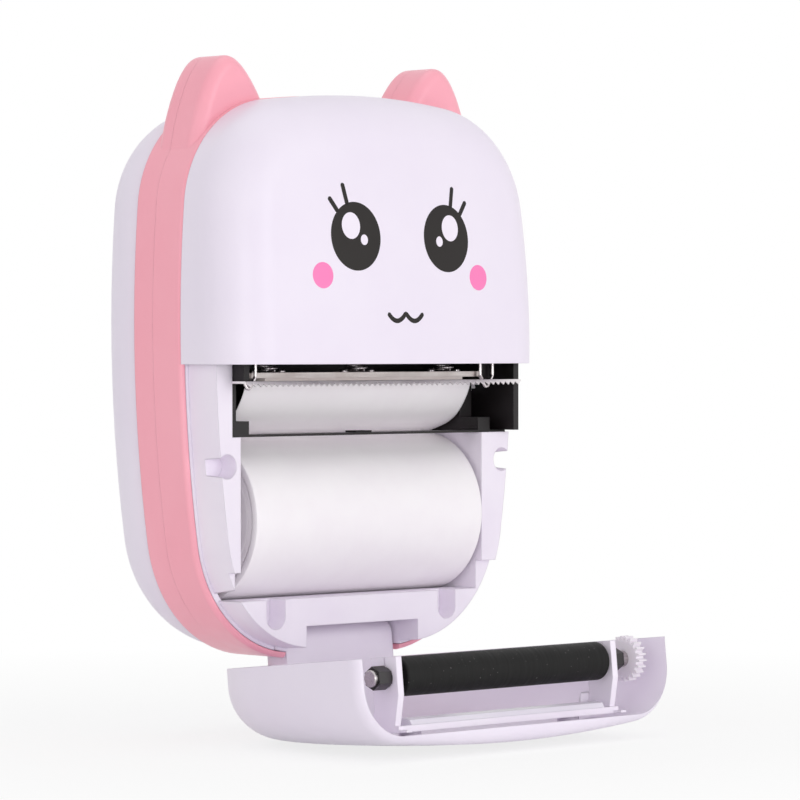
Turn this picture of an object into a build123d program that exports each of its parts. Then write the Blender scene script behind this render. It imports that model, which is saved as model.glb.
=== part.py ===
from build123d import *
import math
import os

# Pocket thermal receipt printer with its paper cover open, in millimetres.
# The pieces are modelled in a case frame: X to the right, Y to the back, Z up,
# with Y = 0 at the front edge of the coloured band and Z = 0 at mid height.
# At the end the whole printer is moved so that it stands on Z = 0.

# Case outline, seen from the front
CASE_HALF_WIDTH = 39.7
CASE_TOP = 51.9
CASE_BOTTOM = 51.9
WIDEST_HEIGHT = 10.0
CROWN_RADIUS = 165.0
SIDE_RADIUS = 260.0
KEEL_RADIUS = 120.0
UPPER_CORNER_RADIUS = 21.0
LOWER_CORNER_RADIUS = 25.0

# Band and rear shell
BAND_DEPTH = 12.6
BAND_PARTING = 7.5
BAND_WALL = 2.2
BAND_LIP = 1.0
BAND_ROUNDING = 0.9
CASE_DEPTH_BEHIND = 28.5
REAR_SETBACK = 1.0
REAR_WALL = 1.8
REAR_ROUNDING = 13.0

# Ears
EAR_TIP_X = 26.1
EAR_TIP_HEIGHT = 58.4
EAR_INNER_X = 16.1
EAR_OUTER_X = 35.2
EAR_BASE_HEIGHT = 44.5
EAR_FRONT = 0.9
EAR_EDGE_ROUNDING = 2.2
EAR_OUTER_DROP = 9.0
EAR_INNER_SHOULDER_IN = 3.0
EAR_INNER_SHOULDER_DROP = 6.4
EAR_OUTER_SHOULDER_IN = 1.4
EAR_OUTER_SHOULDER_DROP = 10.4

# Front dome, shared by the face panel and the cover
DOME_DEPTH = 17.0
DOME_CROWN_RADIUS = 300.0
DOME_CORNER_RADIUS = 10.0
DOME_INSET = 0.1
SHELL_WALL = 1.3
PANEL_BOTTOM = 2.6
COVER_GAP = 1.2
COVER_RIM_GAP = 0.5
LIP_RADIUS = 2.6
LIP_REACH = 2.8

# Inner rim and chassis
RIM_GAP = 0.1
RIM_WIDTH = 1.2
RIM_DEPTH = 3.0
CHASSIS_SIDE_INSET = 1.8
CHASSIS_DRAFT = 0.5
CHASSIS_WALL = 1.6
CHASSIS_BACK = 6.4
CHASSIS_BACK_LIP = 4.2
SLEEVE_WALL = 1.2
LAND_FRONT = 7.0
LAND_BOTTOM = -34.6
LEDGE_FRONT = 5.4
LEDGE_TOP = -39.9
LAND_RECESS_RADIUS = 2.2
LAND_RECESS_X = 34.7
LAND_RECESS_HEIGHT = -15.6
LAND_RECESS_DEPTH = 4.0
POCKET_RADIUS = 2.3
POCKET_X = 21.6
POCKET_HEIGHT = -43.0
POCKET_DEPTH = 4.2
COLUMN_TOP = 12.0

# Cover hinge
HINGE_Y = 3.9
HINGE_Z = -48.2
OPEN_ANGLE = 84.0
KNUCKLE_RADIUS = 2.9
ARM_HALF_WIDTH = 13.5
ARM_THICKNESS = 2.2
ARM_RIB = 1.6
HINGE_SIDE_GAP = 0.6
HINGE_PIN_RADIUS = 0.9
PIN_FIT = 0.05
LUG_WIDTH = 3.0
LUG_CROWN = 1.5
ARM_FOOT = 0.6
SWING_GAP = 0.3

# Paper
ROLL_RADIUS = 14.94
ROLL_WIDTH = 57.0
ROLL_Y = 6.87
ROLL_Z = -25.5
CORE_RADIUS = 5.6
CORE_WALL = 0.9
CORE_INSET = 0.3
ROLL_EDGE = 0.25
BAY_GAP = 0.6
BAY_RIGHT_GAP = 0.8
BAY_LEFT_GAP = 3.0
PAPER_THICKNESS = 0.16
WEB_START = 1.5
WEB_PATH = (
    (5.9, -9.85),
    (3.4, -9.4),
    (1.2, -8.6),
    (-0.7, -7.4),
    (-2.2, -5.9),
    (-3.4, -4.2),
    (-4.3, -2.6),
    (-4.7, -1.4),
)

# Platen roller, with the cover closed
PLATEN_Y = -4.0
PLATEN_Z = -4.6
PLATEN_RADIUS = 3.49
PLATEN_HALF_LENGTH = 25.46
PLATEN_SHAFT_RADIUS = 1.5
SHAFT_LEFT_END = -31.6
BUSH_RADIUS = 2.1
BUSH_LENGTH = 2.9
BUSH_COLLAR = 0.35
BUSH_END_GAP = 0.2
BUSH_NECK_ROOT = 0.5
AXLE_CHAMFER = 0.2
RUBBER_ROUNDING = 0.4
POST_INNER_X = 26.4
POST_THICKNESS = 1.4
CARRIER_FLOOR_Y = -12.5
CARRIER_THICKNESS = 1.2
CARRIER_TOP = -2.2
CARRIER_FOOT = 1.5
CARRIER_FOOT_X = 20.0
CARRIER_FOOT_RADIUS = 2.0
POST_FOOT_REACH = 3.0
POST_LOW_WALL = 1.2
POST_HEAD_WALL = 0.8
POST_STEP = 1.6
POST_NOSE_GAP = 1.2
POST_TOP_GAP = 0.4
POST_SHOULDER = 3.2
GUSSET_WIDTH = 2.2
GUSSET_HEIGHT = 1.0
GUSSET_RISE = 1.5
SLIT_HALF = 0.15
GUIDE_HALF_LENGTH = 24.4
GUIDE_TOP = -2.4
# Section of the guide: height above the carrier floor and distance below its top.
GUIDE_SECTION = ((0.0, 6.0), (0.0, 0.0), (0.9, 0.5), (1.3, 2.2), (0.8, 5.4))

# Gears
GEAR_MODULE = 0.35
PLATEN_TEETH = 22
DRIVE_TEETH = 28
IDLER_TEETH = 30
PINION_TEETH = 12
GEAR_INNER_X = 32.4
GEAR_WIDTH = 2.0
GEAR_TIP_GAP = 0.12
AXLE_RADIUS = 0.8
AXLE_END_INSET = 0.5
TOOTH_TIP_HEIGHT = 0.95
TOOTH_ROOT_DEPTH = 1.2
TOOTH_ROOT_SHARE = 0.30
TOOTH_TIP_SHARE = 0.11
DRIVE_ANGLE = 45.0
IDLER_ANGLE = 30.0
MOTOR_ANGLE = -40.0

# Print mechanism frame
FRAME_LEFT = -33.4
FRAME_RIGHT = 36.2
FRAME_WALL = 1.3
FRAME_FRONT = 6.4
FRAME_BACK = 8.0
FRAME_BOTTOM = -10.4
FRAME_FLOOR = 0.4
FLOOR_BAR_BACK = -2.0
BLOCK_INNER_X = 29.0
SPRING_SEAT_HEIGHT = 6.0
FRAME_TOP = 8.0
GEARBOX_BACK = 20.5
GEARBOX_TOP = 12.0
GEAR_WALL_LOW = -7.8
GEAR_ROOM_TOP = 15.0
BACK_WALL = 1.5
BLOCK_TOP = -1.6
CHEEK_LOW = -1.0
TAB_SETBACK = 1.6
POCKET_EASE = 0.1
FRAME_FREE_FRONT = 0.5
SENSOR_HALF = 2.0
SENSOR_FRONT = -5.6
SENSOR_BACK = -2.8
SENSOR_HEIGHT = 0.35

# Print head
HEAT_PLATE_HALF = 29.7
HEAT_PLATE_FRONT = 6.7
HEAT_PLATE_BACK = 5.0
HEAT_PLATE_BOTTOM = 0.1
HEAT_PLATE_THICKNESS = 1.0
HEAT_PLATE_CORNER = 0.6
SUBSTRATE_HALF = 25.0
SUBSTRATE_THICKNESS = 0.85
SUBSTRATE_FRONT_INSET = 0.5
SUBSTRATE_BACK_INSET = 1.5
GLAZE_END_INSET = 1.0
GLAZE_HALF_WIDTH = 0.6
GLAZE_HEIGHT = 0.08
SPRING_Y = -3.9
SPRING_SPACING = 22.3
SPRING_RADIUS = 1.75
SPRING_WIRE = 0.45
SPRING_TURNS = 4.5
SPRING_END_GAP = 0.05
RIVET_OFFSET = 3.4
RIVET_RADIUS = 0.75
RIVET_HEIGHT = 0.55
RIVET_SHANK_RADIUS = 0.45
RIVET_CROWN = 0.33

# Tear bar and latch wires
TEAR_BAR_LEFT = -34.6
TEAR_BAR_RIGHT = 35.1
TEAR_BAR_BACK = -8.1
TEAR_BAR_BEND = -11.6
TEAR_BAR_TIP_Y = -12.05
TEAR_BAR_TOP = -0.4
TEAR_BAR_THICKNESS = 0.4
TEAR_BAR_TIP = -1.4
TEAR_BAR_LIP = 0.28
TOOTH_PITCH = 1.33
TOOTH_HEIGHT = 0.6
LATCH_X = 30.1
LATCH_HALF_WIDTH = 1.65
LATCH_Y = -7.45
LATCH_LOW = -2.25
LATCH_SHOULDER = 0.35
LATCH_WIRE_RADIUS = 0.35
LATCH_TAIL = 2.0
LATCH_ROOT_DROP = 1.0
LATCH_BEND = 0.6
LATCH_FIT = 0.02
LATCH_HOLE_DEPTH = 3.0

# Electrics
BOARD_FRONT = 11.8
BOARD_THICKNESS = 1.2
BOARD_LEFT = -28.0
BOARD_SIDE_ROOM = 8.7
BOARD_RIGHT = CASE_HALF_WIDTH - BOARD_SIDE_ROOM
BOARD_BOTTOM = 14.0
BOARD_TOP = 40.0
BOARD_POST_X = 24.5
BOARD_POST_LOW = 17.5
BOARD_POST_HIGH = 36.5
BOARD_POST_RADIUS = 2.4
BOARD_POST_SOLID = 5.0
POST_ROOT = 0.5
# Chips on the board: middle, width, height and how far each stands out.
BOARD_CHIPS = (
    (-10, 30, 9.0, 9.0, 1.0),
    (8, 32, 6.0, 5.0, 1.2),
    (-18, 20, 5.0, 4.0, 1.6),
    (2, 19, 20.0, 4.2, 2.2),
)
SWITCH_LENGTH = 3.6
SWITCH_DEPTH = 3.2
SWITCH_HALF_HEIGHT = 3.0
SWITCH_GAP = 0.25
SCREW_RADIUS = 0.9
SCREW_HEAD_RADIUS = 1.8
SCREW_HEAD_HEIGHT = 1.0
SCREW_RECESS_LENGTH = 2.2
SCREW_RECESS_WIDTH = 0.45
SCREW_RECESS_DEPTH = 0.9
BOARD_SCREW_LENGTH = 6.0
CASE_SCREW_LENGTH = 4.5
CASE_SCREW_HOLE = 5.0
BATTERY_WIDTH = 40.0
BATTERY_HEIGHT = 26.0
BATTERY_THICKNESS = 6.5
BATTERY_MID_HEIGHT = 27.5
BATTERY_ROUNDING = 1.2
TAPE_GAP = 0.2
MOTOR_RADIUS = 7.5
MOTOR_LENGTH = 11.0
MOTOR_ROUNDING = 0.6
MOTOR_BOSS_ROOT = 0.5
FLANGE_LONG_END = 8.8
FLANGE_SHORT_END = 6.0
FLANGE_HALF_HEIGHT = 1.8
FLANGE_THICKNESS = 0.8
PORT_HEIGHT = 18.6
PORT_WIDTH = 9.0
PORT_DEPTH = 3.2
PORT_BACKSET = 0.6
PORT_CORNER = 1.2
PORT_MOUTH_CORNER = 1.0
PORT_LENGTH = 7.2
PORT_BACK_WALL = 1.0
PORT_SHEET = 0.35
TONGUE_ROOT = 6.6
TONGUE_SETBACK = 0.8
TONGUE_HALF_THICKNESS = 0.35
TONGUE_END_GAP = 1.1
LIGHT_HEIGHT = 25.4
LIGHT_RADIUS = 0.9
LIGHT_BACKSET = 0.1
LIGHT_LENGTH = 4.0
LIGHT_FOOT_END = 3.0
LIGHT_FOOT_LAP = 1.5
LIGHT_FOOT_FRONT = 0.7
LIGHT_FOOT_HALF_HEIGHT = 0.9
BUTTON_HEIGHT = 31.5
BUTTON_LENGTH = 7.0
BUTTON_WIDTH = 3.0
BUTTON_PROUD = 0.9
BUTTON_TRAVEL = 0.5
BUTTON_GAP = 0.12
BUTTON_FACE_ROUNDING = 0.4
BUTTON_FLANGE = 0.9
BUTTON_FLANGE_GAP = 0.1
BUTTON_FLANGE_FRONT = 0.7
BUTTON_BOARD_GAP = 0.2
SIDE_FEATURE_Y = 10.05
SIDE_CUT_IN = 5.0
SIDE_CUT_OUT = 3.0

# Case screws
CASE_SCREW_X = 23.0
CASE_SCREW_TOP = 31.0
CASE_SCREW_BOTTOM = -34.0
SCREW_WELL_RADIUS = 2.6
SCREW_WELL_DEPTH = 1.4
SCREW_WELL_WALL = 1.4
SCREW_WELL_FLOOR = 2.4

EDGE_BREAK = 0.35
# How far a cutting shape runs past what it cuts.
PAST = 1.0
FAR = 80.0


def front_plane(y):
    # Sketches lie in X and Z at depth y, and their normal points to the front.
    return Plane(origin=(0, y, 0), x_dir=(1, 0, 0), z_dir=(0, -1, 0))


def prism(sketch, front, back):
    return extrude(front_plane(back) * sketch, amount=back - front)


def block(x0, x1, y0, y1, z0, z1):
    size = (x1 - x0, y1 - y0, z1 - z0)
    return Pos((x0 + x1) / 2, (y0 + y1) / 2, (z0 + z1) / 2) * Box(*size)


def rod(radius, x0, x1, y, z):
    return Pos((x0 + x1) / 2, y, z) * Rot(0, 90, 0) * Cylinder(radius, x1 - x0)


def bar_along_y(radius, x, z, y0, y1):
    return Pos(x, (y0 + y1) / 2, z) * Rot(90, 0, 0) * Cylinder(radius, y1 - y0)


def side_profile(points, x0, x1):
    # A closed profile of (y, z) points, stretched along X.
    face = make_face(Plane.YZ.offset(x0) * Polyline(*points, close=True))
    return extrude(face, amount=x1 - x0, dir=(1, 0, 0))


def centre_between(c1, reach1, c2, reach2, outward):
    # The point at both distances from two centres, on the outward side.
    dx = c2[0] - c1[0]
    dz = c2[1] - c1[1]
    span = math.hypot(dx, dz)
    along = (reach1**2 - reach2**2 + span**2) / (2 * span)
    aside = math.sqrt(reach1**2 - along**2)
    ux = dx / span
    uz = dz / span
    candidates = [
        (c1[0] + along * ux - side * aside * uz, c1[1] + along * uz + side * aside * ux)
        for side in (-1, 1)
    ]
    return max(candidates, key=lambda c: c[0] * outward[0] + c[1] * outward[1])


def outline_arcs():
    # Centres and radii of the five arcs of the right half, top to bottom.
    top = (0.0, CASE_TOP - CROWN_RADIUS)
    side = (CASE_HALF_WIDTH - SIDE_RADIUS, WIDEST_HEIGHT)
    keel = (0.0, KEEL_RADIUS - CASE_BOTTOM)
    upper = centre_between(
        top, CROWN_RADIUS - UPPER_CORNER_RADIUS, side, SIDE_RADIUS - UPPER_CORNER_RADIUS, (1, 1)
    )
    lower = centre_between(
        keel, KEEL_RADIUS - LOWER_CORNER_RADIUS, side, SIDE_RADIUS - LOWER_CORNER_RADIUS, (1, -1)
    )
    return [
        (top, CROWN_RADIUS),
        (upper, UPPER_CORNER_RADIUS),
        (side, SIDE_RADIUS),
        (lower, LOWER_CORNER_RADIUS),
        (keel, KEEL_RADIUS),
    ]


def touch_point(big, small, inset):
    (cx, cz), radius = big
    (sx, sz), _ = small
    span = math.hypot(sx - cx, sz - cz)
    reach = radius - inset
    return (cx + (sx - cx) / span * reach, cz + (sz - cz) / span * reach)


def arc_middle(arc, start, end, inset):
    (cx, cz), radius = arc
    mx = (start[0] + end[0]) / 2 - cx
    mz = (start[1] + end[1]) / 2 - cz
    span = math.hypot(mx, mz)
    reach = radius - inset
    return (cx + mx / span * reach, cz + mz / span * reach)


def case_outline(inset=0.0):
    # The rounded case outline, drawn with tangent arcs and set in by inset.
    arcs = outline_arcs()
    joints = [
        touch_point(arcs[0], arcs[1], inset),
        touch_point(arcs[2], arcs[1], inset),
        touch_point(arcs[2], arcs[3], inset),
        touch_point(arcs[4], arcs[3], inset),
    ]
    right = []
    for arc, start, end in zip(arcs[1:4], joints[:3], joints[1:]):
        right.append((start, arc_middle(arc, start, end, inset), end))
    mirrored = [tuple((-x, z) for x, z in reversed(points)) for points in reversed(right)]
    top_x, top_z = joints[0]
    low_x, low_z = joints[3]
    crown = ((-top_x, top_z), (0, CASE_TOP - inset), (top_x, top_z))
    keel = ((low_x, low_z), (0, inset - CASE_BOTTOM), (-low_x, low_z))
    curves = [ThreePointArc(*points) for points in [crown] + right + [keel] + mirrored]
    return make_face(curves)


def half_width_at(height, inset=0.0):
    # Half width of the case on its side arc or upper corner, at a height.
    arcs = outline_arcs()
    corner_start = touch_point(arcs[2], arcs[1], inset)[1]
    (cx, cz), radius = arcs[1] if height > corner_start else arcs[2]
    return cx + math.sqrt((radius - inset) ** 2 - (height - cz) ** 2)


def ring(outer_inset, inner_inset, front, back):
    return prism(case_outline(outer_inset), front, back) - prism(
        case_outline(inner_inset), front - 1, back + 1
    )


def dome(inset):
    # The crowned front of the case, set in by inset, standing on Y = 0.
    depth = DOME_DEPTH - inset
    body = prism(case_outline(inset + DOME_INSET), -depth - 1, 0)
    crown = DOME_CROWN_RADIUS - inset
    body = body & Pos(0, crown - depth, 0) * Sphere(crown)
    front = body.faces().sort_by(Axis.Y)[0]
    return fillet(front.edges(), DOME_CORNER_RADIUS - inset)


def opened(shape):
    # A cover piece is modelled closed, then turned about the hinge.
    hinge = Pos(0, HINGE_Y, HINGE_Z)
    return hinge * Rot(OPEN_ANGLE, 0, 0) * hinge.inverse() * shape


def opened_point(y, z):
    angle = math.radians(OPEN_ANGLE)
    dy = y - HINGE_Y
    dz = z - HINGE_Z
    turned_y = dy * math.cos(angle) - dz * math.sin(angle)
    turned_z = dy * math.sin(angle) + dz * math.cos(angle)
    return (HINGE_Y + turned_y, HINGE_Z + turned_z)


def ear_solid(side):
    # One rounded ear standing on the band, with a domed edge front and back.
    tip = (side * EAR_TIP_X, EAR_TIP_HEIGHT)
    inner = (side * EAR_INNER_X, EAR_BASE_HEIGHT)
    outer = (side * EAR_OUTER_X, EAR_BASE_HEIGHT - EAR_OUTER_DROP)
    inner_mid = (
        side * (EAR_INNER_X + EAR_INNER_SHOULDER_IN),
        EAR_TIP_HEIGHT - EAR_INNER_SHOULDER_DROP,
    )
    outer_mid = (
        side * (EAR_OUTER_X - EAR_OUTER_SHOULDER_IN),
        EAR_TIP_HEIGHT - EAR_OUTER_SHOULDER_DROP,
    )
    curves = [
        Spline(inner, inner_mid, tip, outer_mid, outer),
        Line(outer, inner),
    ]
    body = prism(make_face(curves), EAR_FRONT, BAND_DEPTH - EAR_FRONT)
    rim = [e for e in body.edges() if e.geom_type != GeomType.LINE]
    return fillet(rim, EAR_EDGE_ROUNDING)


def band_blank():
    band = ring(0, BAND_WALL, 0, BAND_DEPTH)
    lip = prism(case_outline(BAND_LIP), -1, RIM_DEPTH)
    outer_edges = band.faces().sort_by(Axis.Y)[0].outer_wire().edges()
    band = fillet(outer_edges, BAND_ROUNDING)
    inner_room = prism(case_outline(BAND_WALL), -1, BAND_DEPTH + 1)
    for side in (-1, 1):
        band = band + (ear_solid(side) - inner_room)
    return band - lip


def hinge_notch():
    half = ARM_HALF_WIDTH + HINGE_SIDE_GAP + SWING_GAP
    return block(-half, half, -FAR, BAND_PARTING + 1, -FAR, HINGE_Z + KNUCKLE_RADIUS)


def lug_top():
    return HINGE_Z + KNUCKLE_RADIUS + LUG_CROWN


def lug_zone(gap, front):
    # The room that the two hinge lugs take at the bottom of the case.
    half = ARM_HALF_WIDTH + HINGE_SIDE_GAP + LUG_WIDTH + gap
    return block(-half, half, front, BAND_PARTING + 1, -FAR, lug_top())


def band_front():
    keep = block(-FAR, FAR, -1, BAND_PARTING, -FAR, FAR)
    lug_pocket = prism(case_outline(BAND_LIP), -1, FAR) & lug_zone(SWING_GAP, -1)
    return (band_blank() & keep) - hinge_notch() - lug_pocket


def side_y_cut(half_y, z_centre, half_z):
    x = half_width_at(z_centre)
    y = SIDE_FEATURE_Y
    low = z_centre - half_z
    return block(x - SIDE_CUT_IN, x + SIDE_CUT_OUT, y - half_y, y + half_y, low, z_centre + half_z)


def band_rear():
    keep = block(-FAR, FAR, BAND_PARTING, BAND_DEPTH, -FAR, FAR)
    band = band_blank() & keep
    port = side_y_cut(PORT_DEPTH / 2 + EDGE_BREAK, PORT_HEIGHT, PORT_WIDTH / 2 + EDGE_BREAK)
    half_button = BUTTON_WIDTH / 2 + BUTTON_GAP
    button = side_y_cut(half_button, BUTTON_HEIGHT, BUTTON_LENGTH / 2 + BUTTON_GAP)
    button = fillet(button.edges().filter_by(Axis.X), BUTTON_WIDTH / 2 - EDGE_BREAK)
    face = half_width_at(LIGHT_HEIGHT)
    hole = LIGHT_RADIUS + PIN_FIT
    light = rod(hole, face - SIDE_CUT_IN, face + SIDE_CUT_OUT, SIDE_FEATURE_Y, LIGHT_HEIGHT)
    return band - fillet(port.edges().filter_by(Axis.X), PORT_CORNER) - button - light


def rear_blank(inset):
    depth = CASE_DEPTH_BEHIND - inset
    body = prism(case_outline(REAR_SETBACK + inset), BAND_DEPTH, depth)
    back = body.faces().sort_by(Axis.Y)[-1]
    return fillet(back.edges(), REAR_ROUNDING - inset)


def case_room(front):
    # The space inside the band and the rear shell, with a small gap all round.
    inset = REAR_SETBACK + REAR_WALL + SWING_GAP
    return prism(case_outline(inset), front, BAND_DEPTH + 1) + rear_blank(REAR_WALL + SWING_GAP)


def case_screw_places():
    return [
        (side * CASE_SCREW_X, height)
        for height in (CASE_SCREW_TOP, CASE_SCREW_BOTTOM)
        for side in (-1, 1)
    ]


def board_screw_places():
    return [
        (side * BOARD_POST_X, height)
        for height in (BOARD_POST_LOW, BOARD_POST_HIGH)
        for side in (-1, 1)
    ]


def rear_shell():
    shell = rear_blank(0) - rear_blank(REAR_WALL)
    inside = CASE_DEPTH_BEHIND - REAR_WALL
    board_back = BOARD_FRONT + BOARD_THICKNESS
    for x, z in board_screw_places():
        shell = shell + bar_along_y(BOARD_POST_RADIUS, x, z, board_back, inside + POST_ROOT)
    for x, z in board_screw_places():
        hole_end = inside - BOARD_POST_SOLID
        shell = shell - bar_along_y(SCREW_RADIUS, x, z, board_back - PAST, hole_end)
    for x, z in case_screw_places():
        floor = CASE_DEPTH_BEHIND - SCREW_WELL_DEPTH
        boss = SCREW_WELL_RADIUS + SCREW_WELL_WALL
        shell = shell + bar_along_y(boss, x, z, floor - SCREW_WELL_FLOOR, inside + POST_ROOT)
        shell = shell - bar_along_y(SCREW_WELL_RADIUS, x, z, floor, CASE_DEPTH_BEHIND + PAST)
        shell = shell - bar_along_y(SCREW_RADIUS, x, z, floor - CASE_SCREW_HOLE, floor + PAST)
    return shell


def screw(x, z, head_y, length):
    # A small pan head screw driven from the back, with a cross recess.
    head = bar_along_y(SCREW_HEAD_RADIUS, x, z, head_y, head_y + SCREW_HEAD_HEIGHT)
    shank = bar_along_y(SCREW_RADIUS - PIN_FIT, x, z, head_y - length, head_y)
    top = Pos(x, head_y + SCREW_HEAD_HEIGHT, z)
    slot = top * Box(SCREW_RECESS_LENGTH, SCREW_RECESS_DEPTH, SCREW_RECESS_WIDTH)
    cross = top * Box(SCREW_RECESS_WIDTH, SCREW_RECESS_DEPTH, SCREW_RECESS_LENGTH)
    return head + shank - slot - cross


def case_screws():
    head_y = CASE_DEPTH_BEHIND - SCREW_WELL_DEPTH
    return [screw(x, z, head_y, CASE_SCREW_LENGTH) for x, z in case_screw_places()]


def board_screws():
    # These are driven from the front, through the board into its posts.
    screws = []
    for x, z in board_screw_places():
        one = Rot(0, 0, 180) * screw(-x, z, -BOARD_FRONT, BOARD_SCREW_LENGTH)
        screws.append(one)
    return screws


def inner_rim():
    outer = BAND_LIP + RIM_GAP
    return ring(outer, outer + RIM_WIDTH, 0, RIM_DEPTH) - lug_zone(RIM_GAP, -1)


def front_panel():
    shell = dome(0) - dome(SHELL_WALL)
    return shell & block(-FAR, FAR, -FAR, FAR, PANEL_BOTTOM, FAR)


def bay_block(grow):
    # The space for the paper roll, made larger all round by grow.
    left = -ROLL_WIDTH / 2 - BAY_LEFT_GAP - grow
    right = ROLL_WIDTH / 2 + BAY_RIGHT_GAP + grow
    radius = ROLL_RADIUS + BAY_GAP + grow
    trough = rod(radius, left, right, ROLL_Y, ROLL_Z)
    mouth = block(left, right, -FAR / 2, ROLL_Y, LEDGE_TOP - grow, FRAME_BOTTOM + 1 + grow)
    return trough + mouth


def chassis_blank(inset, front):
    # Drafted sides in front of the rim, straight ones inside it.
    near = front_plane(0) * case_outline(CHASSIS_SIDE_INSET + inset)
    far = front_plane(-front) * case_outline(CHASSIS_SIDE_INSET + CHASSIS_DRAFT + inset)
    nose = loft([near, far])
    inside_rim = BAND_LIP + RIM_GAP + RIM_WIDTH + RIM_GAP
    tail = prism(case_outline(inside_rim + inset), 0, CHASSIS_BACK)
    return nose + tail


def chassis():
    solid = chassis_blank(0, LAND_FRONT)
    hollow = chassis_blank(CHASSIS_WALL, LAND_FRONT - CHASSIS_WALL)
    hollow = hollow + prism(case_outline(CHASSIS_BACK_LIP), 0, CHASSIS_BACK + PAST)
    step = block(-FAR, FAR, -FAR, -LEDGE_FRONT, -FAR, LAND_BOTTOM)
    riser_top = LAND_BOTTOM + CHASSIS_WALL
    step_inside = block(-FAR, FAR, -FAR, CHASSIS_WALL - LEDGE_FRONT, -FAR, riser_top)
    walls = (solid - step) - (hollow - step_inside)
    bay_walls = bay_block(CHASSIS_WALL) & block(
        -FAR, FAR, -LEDGE_FRONT, FAR, -FAR, FRAME_BOTTOM
    )
    walls = walls + (bay_walls & case_room(-LEDGE_FRONT))
    for side in (-1, 1):
        x = side * LAND_RECESS_X
        recess_back = LAND_RECESS_DEPTH - LAND_FRONT
        sleeve_radius = LAND_RECESS_RADIUS + SLEEVE_WALL
        sleeve = bar_along_y(sleeve_radius, x, LAND_RECESS_HEIGHT, -LAND_FRONT, recess_back + 1)
        walls = walls + (sleeve & solid)
        walls = walls - bar_along_y(
            LAND_RECESS_RADIUS, x, LAND_RECESS_HEIGHT, -FAR / 2, recess_back
        )
        pocket_back = POCKET_DEPTH - LEDGE_FRONT
        px = side * POCKET_X
        cup = block(
            px - POCKET_RADIUS - SLEEVE_WALL,
            px + POCKET_RADIUS + SLEEVE_WALL,
            -LEDGE_FRONT,
            pocket_back + SLEEVE_WALL,
            POCKET_HEIGHT - POCKET_RADIUS - SLEEVE_WALL,
            LEDGE_TOP,
        )
        walls = walls + (cup & solid)
        walls = walls - bar_along_y(POCKET_RADIUS, px, POCKET_HEIGHT, -FAR / 2, pocket_back)
        walls = walls - block(
            px - POCKET_RADIUS, px + POCKET_RADIUS, -FAR / 2, pocket_back, POCKET_HEIGHT, LEDGE_TOP + 1
        )
    walls = walls - bay_block(0)
    lug_inner = ARM_HALF_WIDTH + HINGE_SIDE_GAP
    for side in (-1, 1):
        x0, x1 = sorted((side * lug_inner, side * (lug_inner + LUG_WIDTH)))
        lug = block(x0, x1, RIM_GAP - COVER_RIM_GAP, CHASSIS_BACK, -FAR, lug_top())
        foot = prism(case_outline(BAND_LIP + 2 * RIM_GAP), -1, CHASSIS_BACK)
        walls = walls + (lug & (solid + foot))
        brace = block(x0, x1, -LEDGE_FRONT, CHASSIS_BACK, -FAR, lug_top())
        walls = walls + (brace & solid)
    swing = KNUCKLE_RADIUS + SWING_GAP
    slot = block(-lug_inner, lug_inner, -FAR, FAR, -FAR, HINGE_Z + swing)
    lug_outer = lug_inner + LUG_WIDTH
    pin_hole = rod(HINGE_PIN_RADIUS + PIN_FIT, -lug_outer, lug_outer, HINGE_Y, HINGE_Z)
    above = block(FRAME_LEFT - RIM_GAP, FAR, -FAR, FAR, FRAME_BOTTOM, FAR)
    top = block(-FAR, FAR, -FAR, FAR, COLUMN_TOP, FAR)
    return walls - slot - pin_hole - above - top


def hinge_pin():
    half = ARM_HALF_WIDTH + HINGE_SIDE_GAP + LUG_WIDTH
    return rod(HINGE_PIN_RADIUS, -half, half, HINGE_Y, HINGE_Z)


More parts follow.
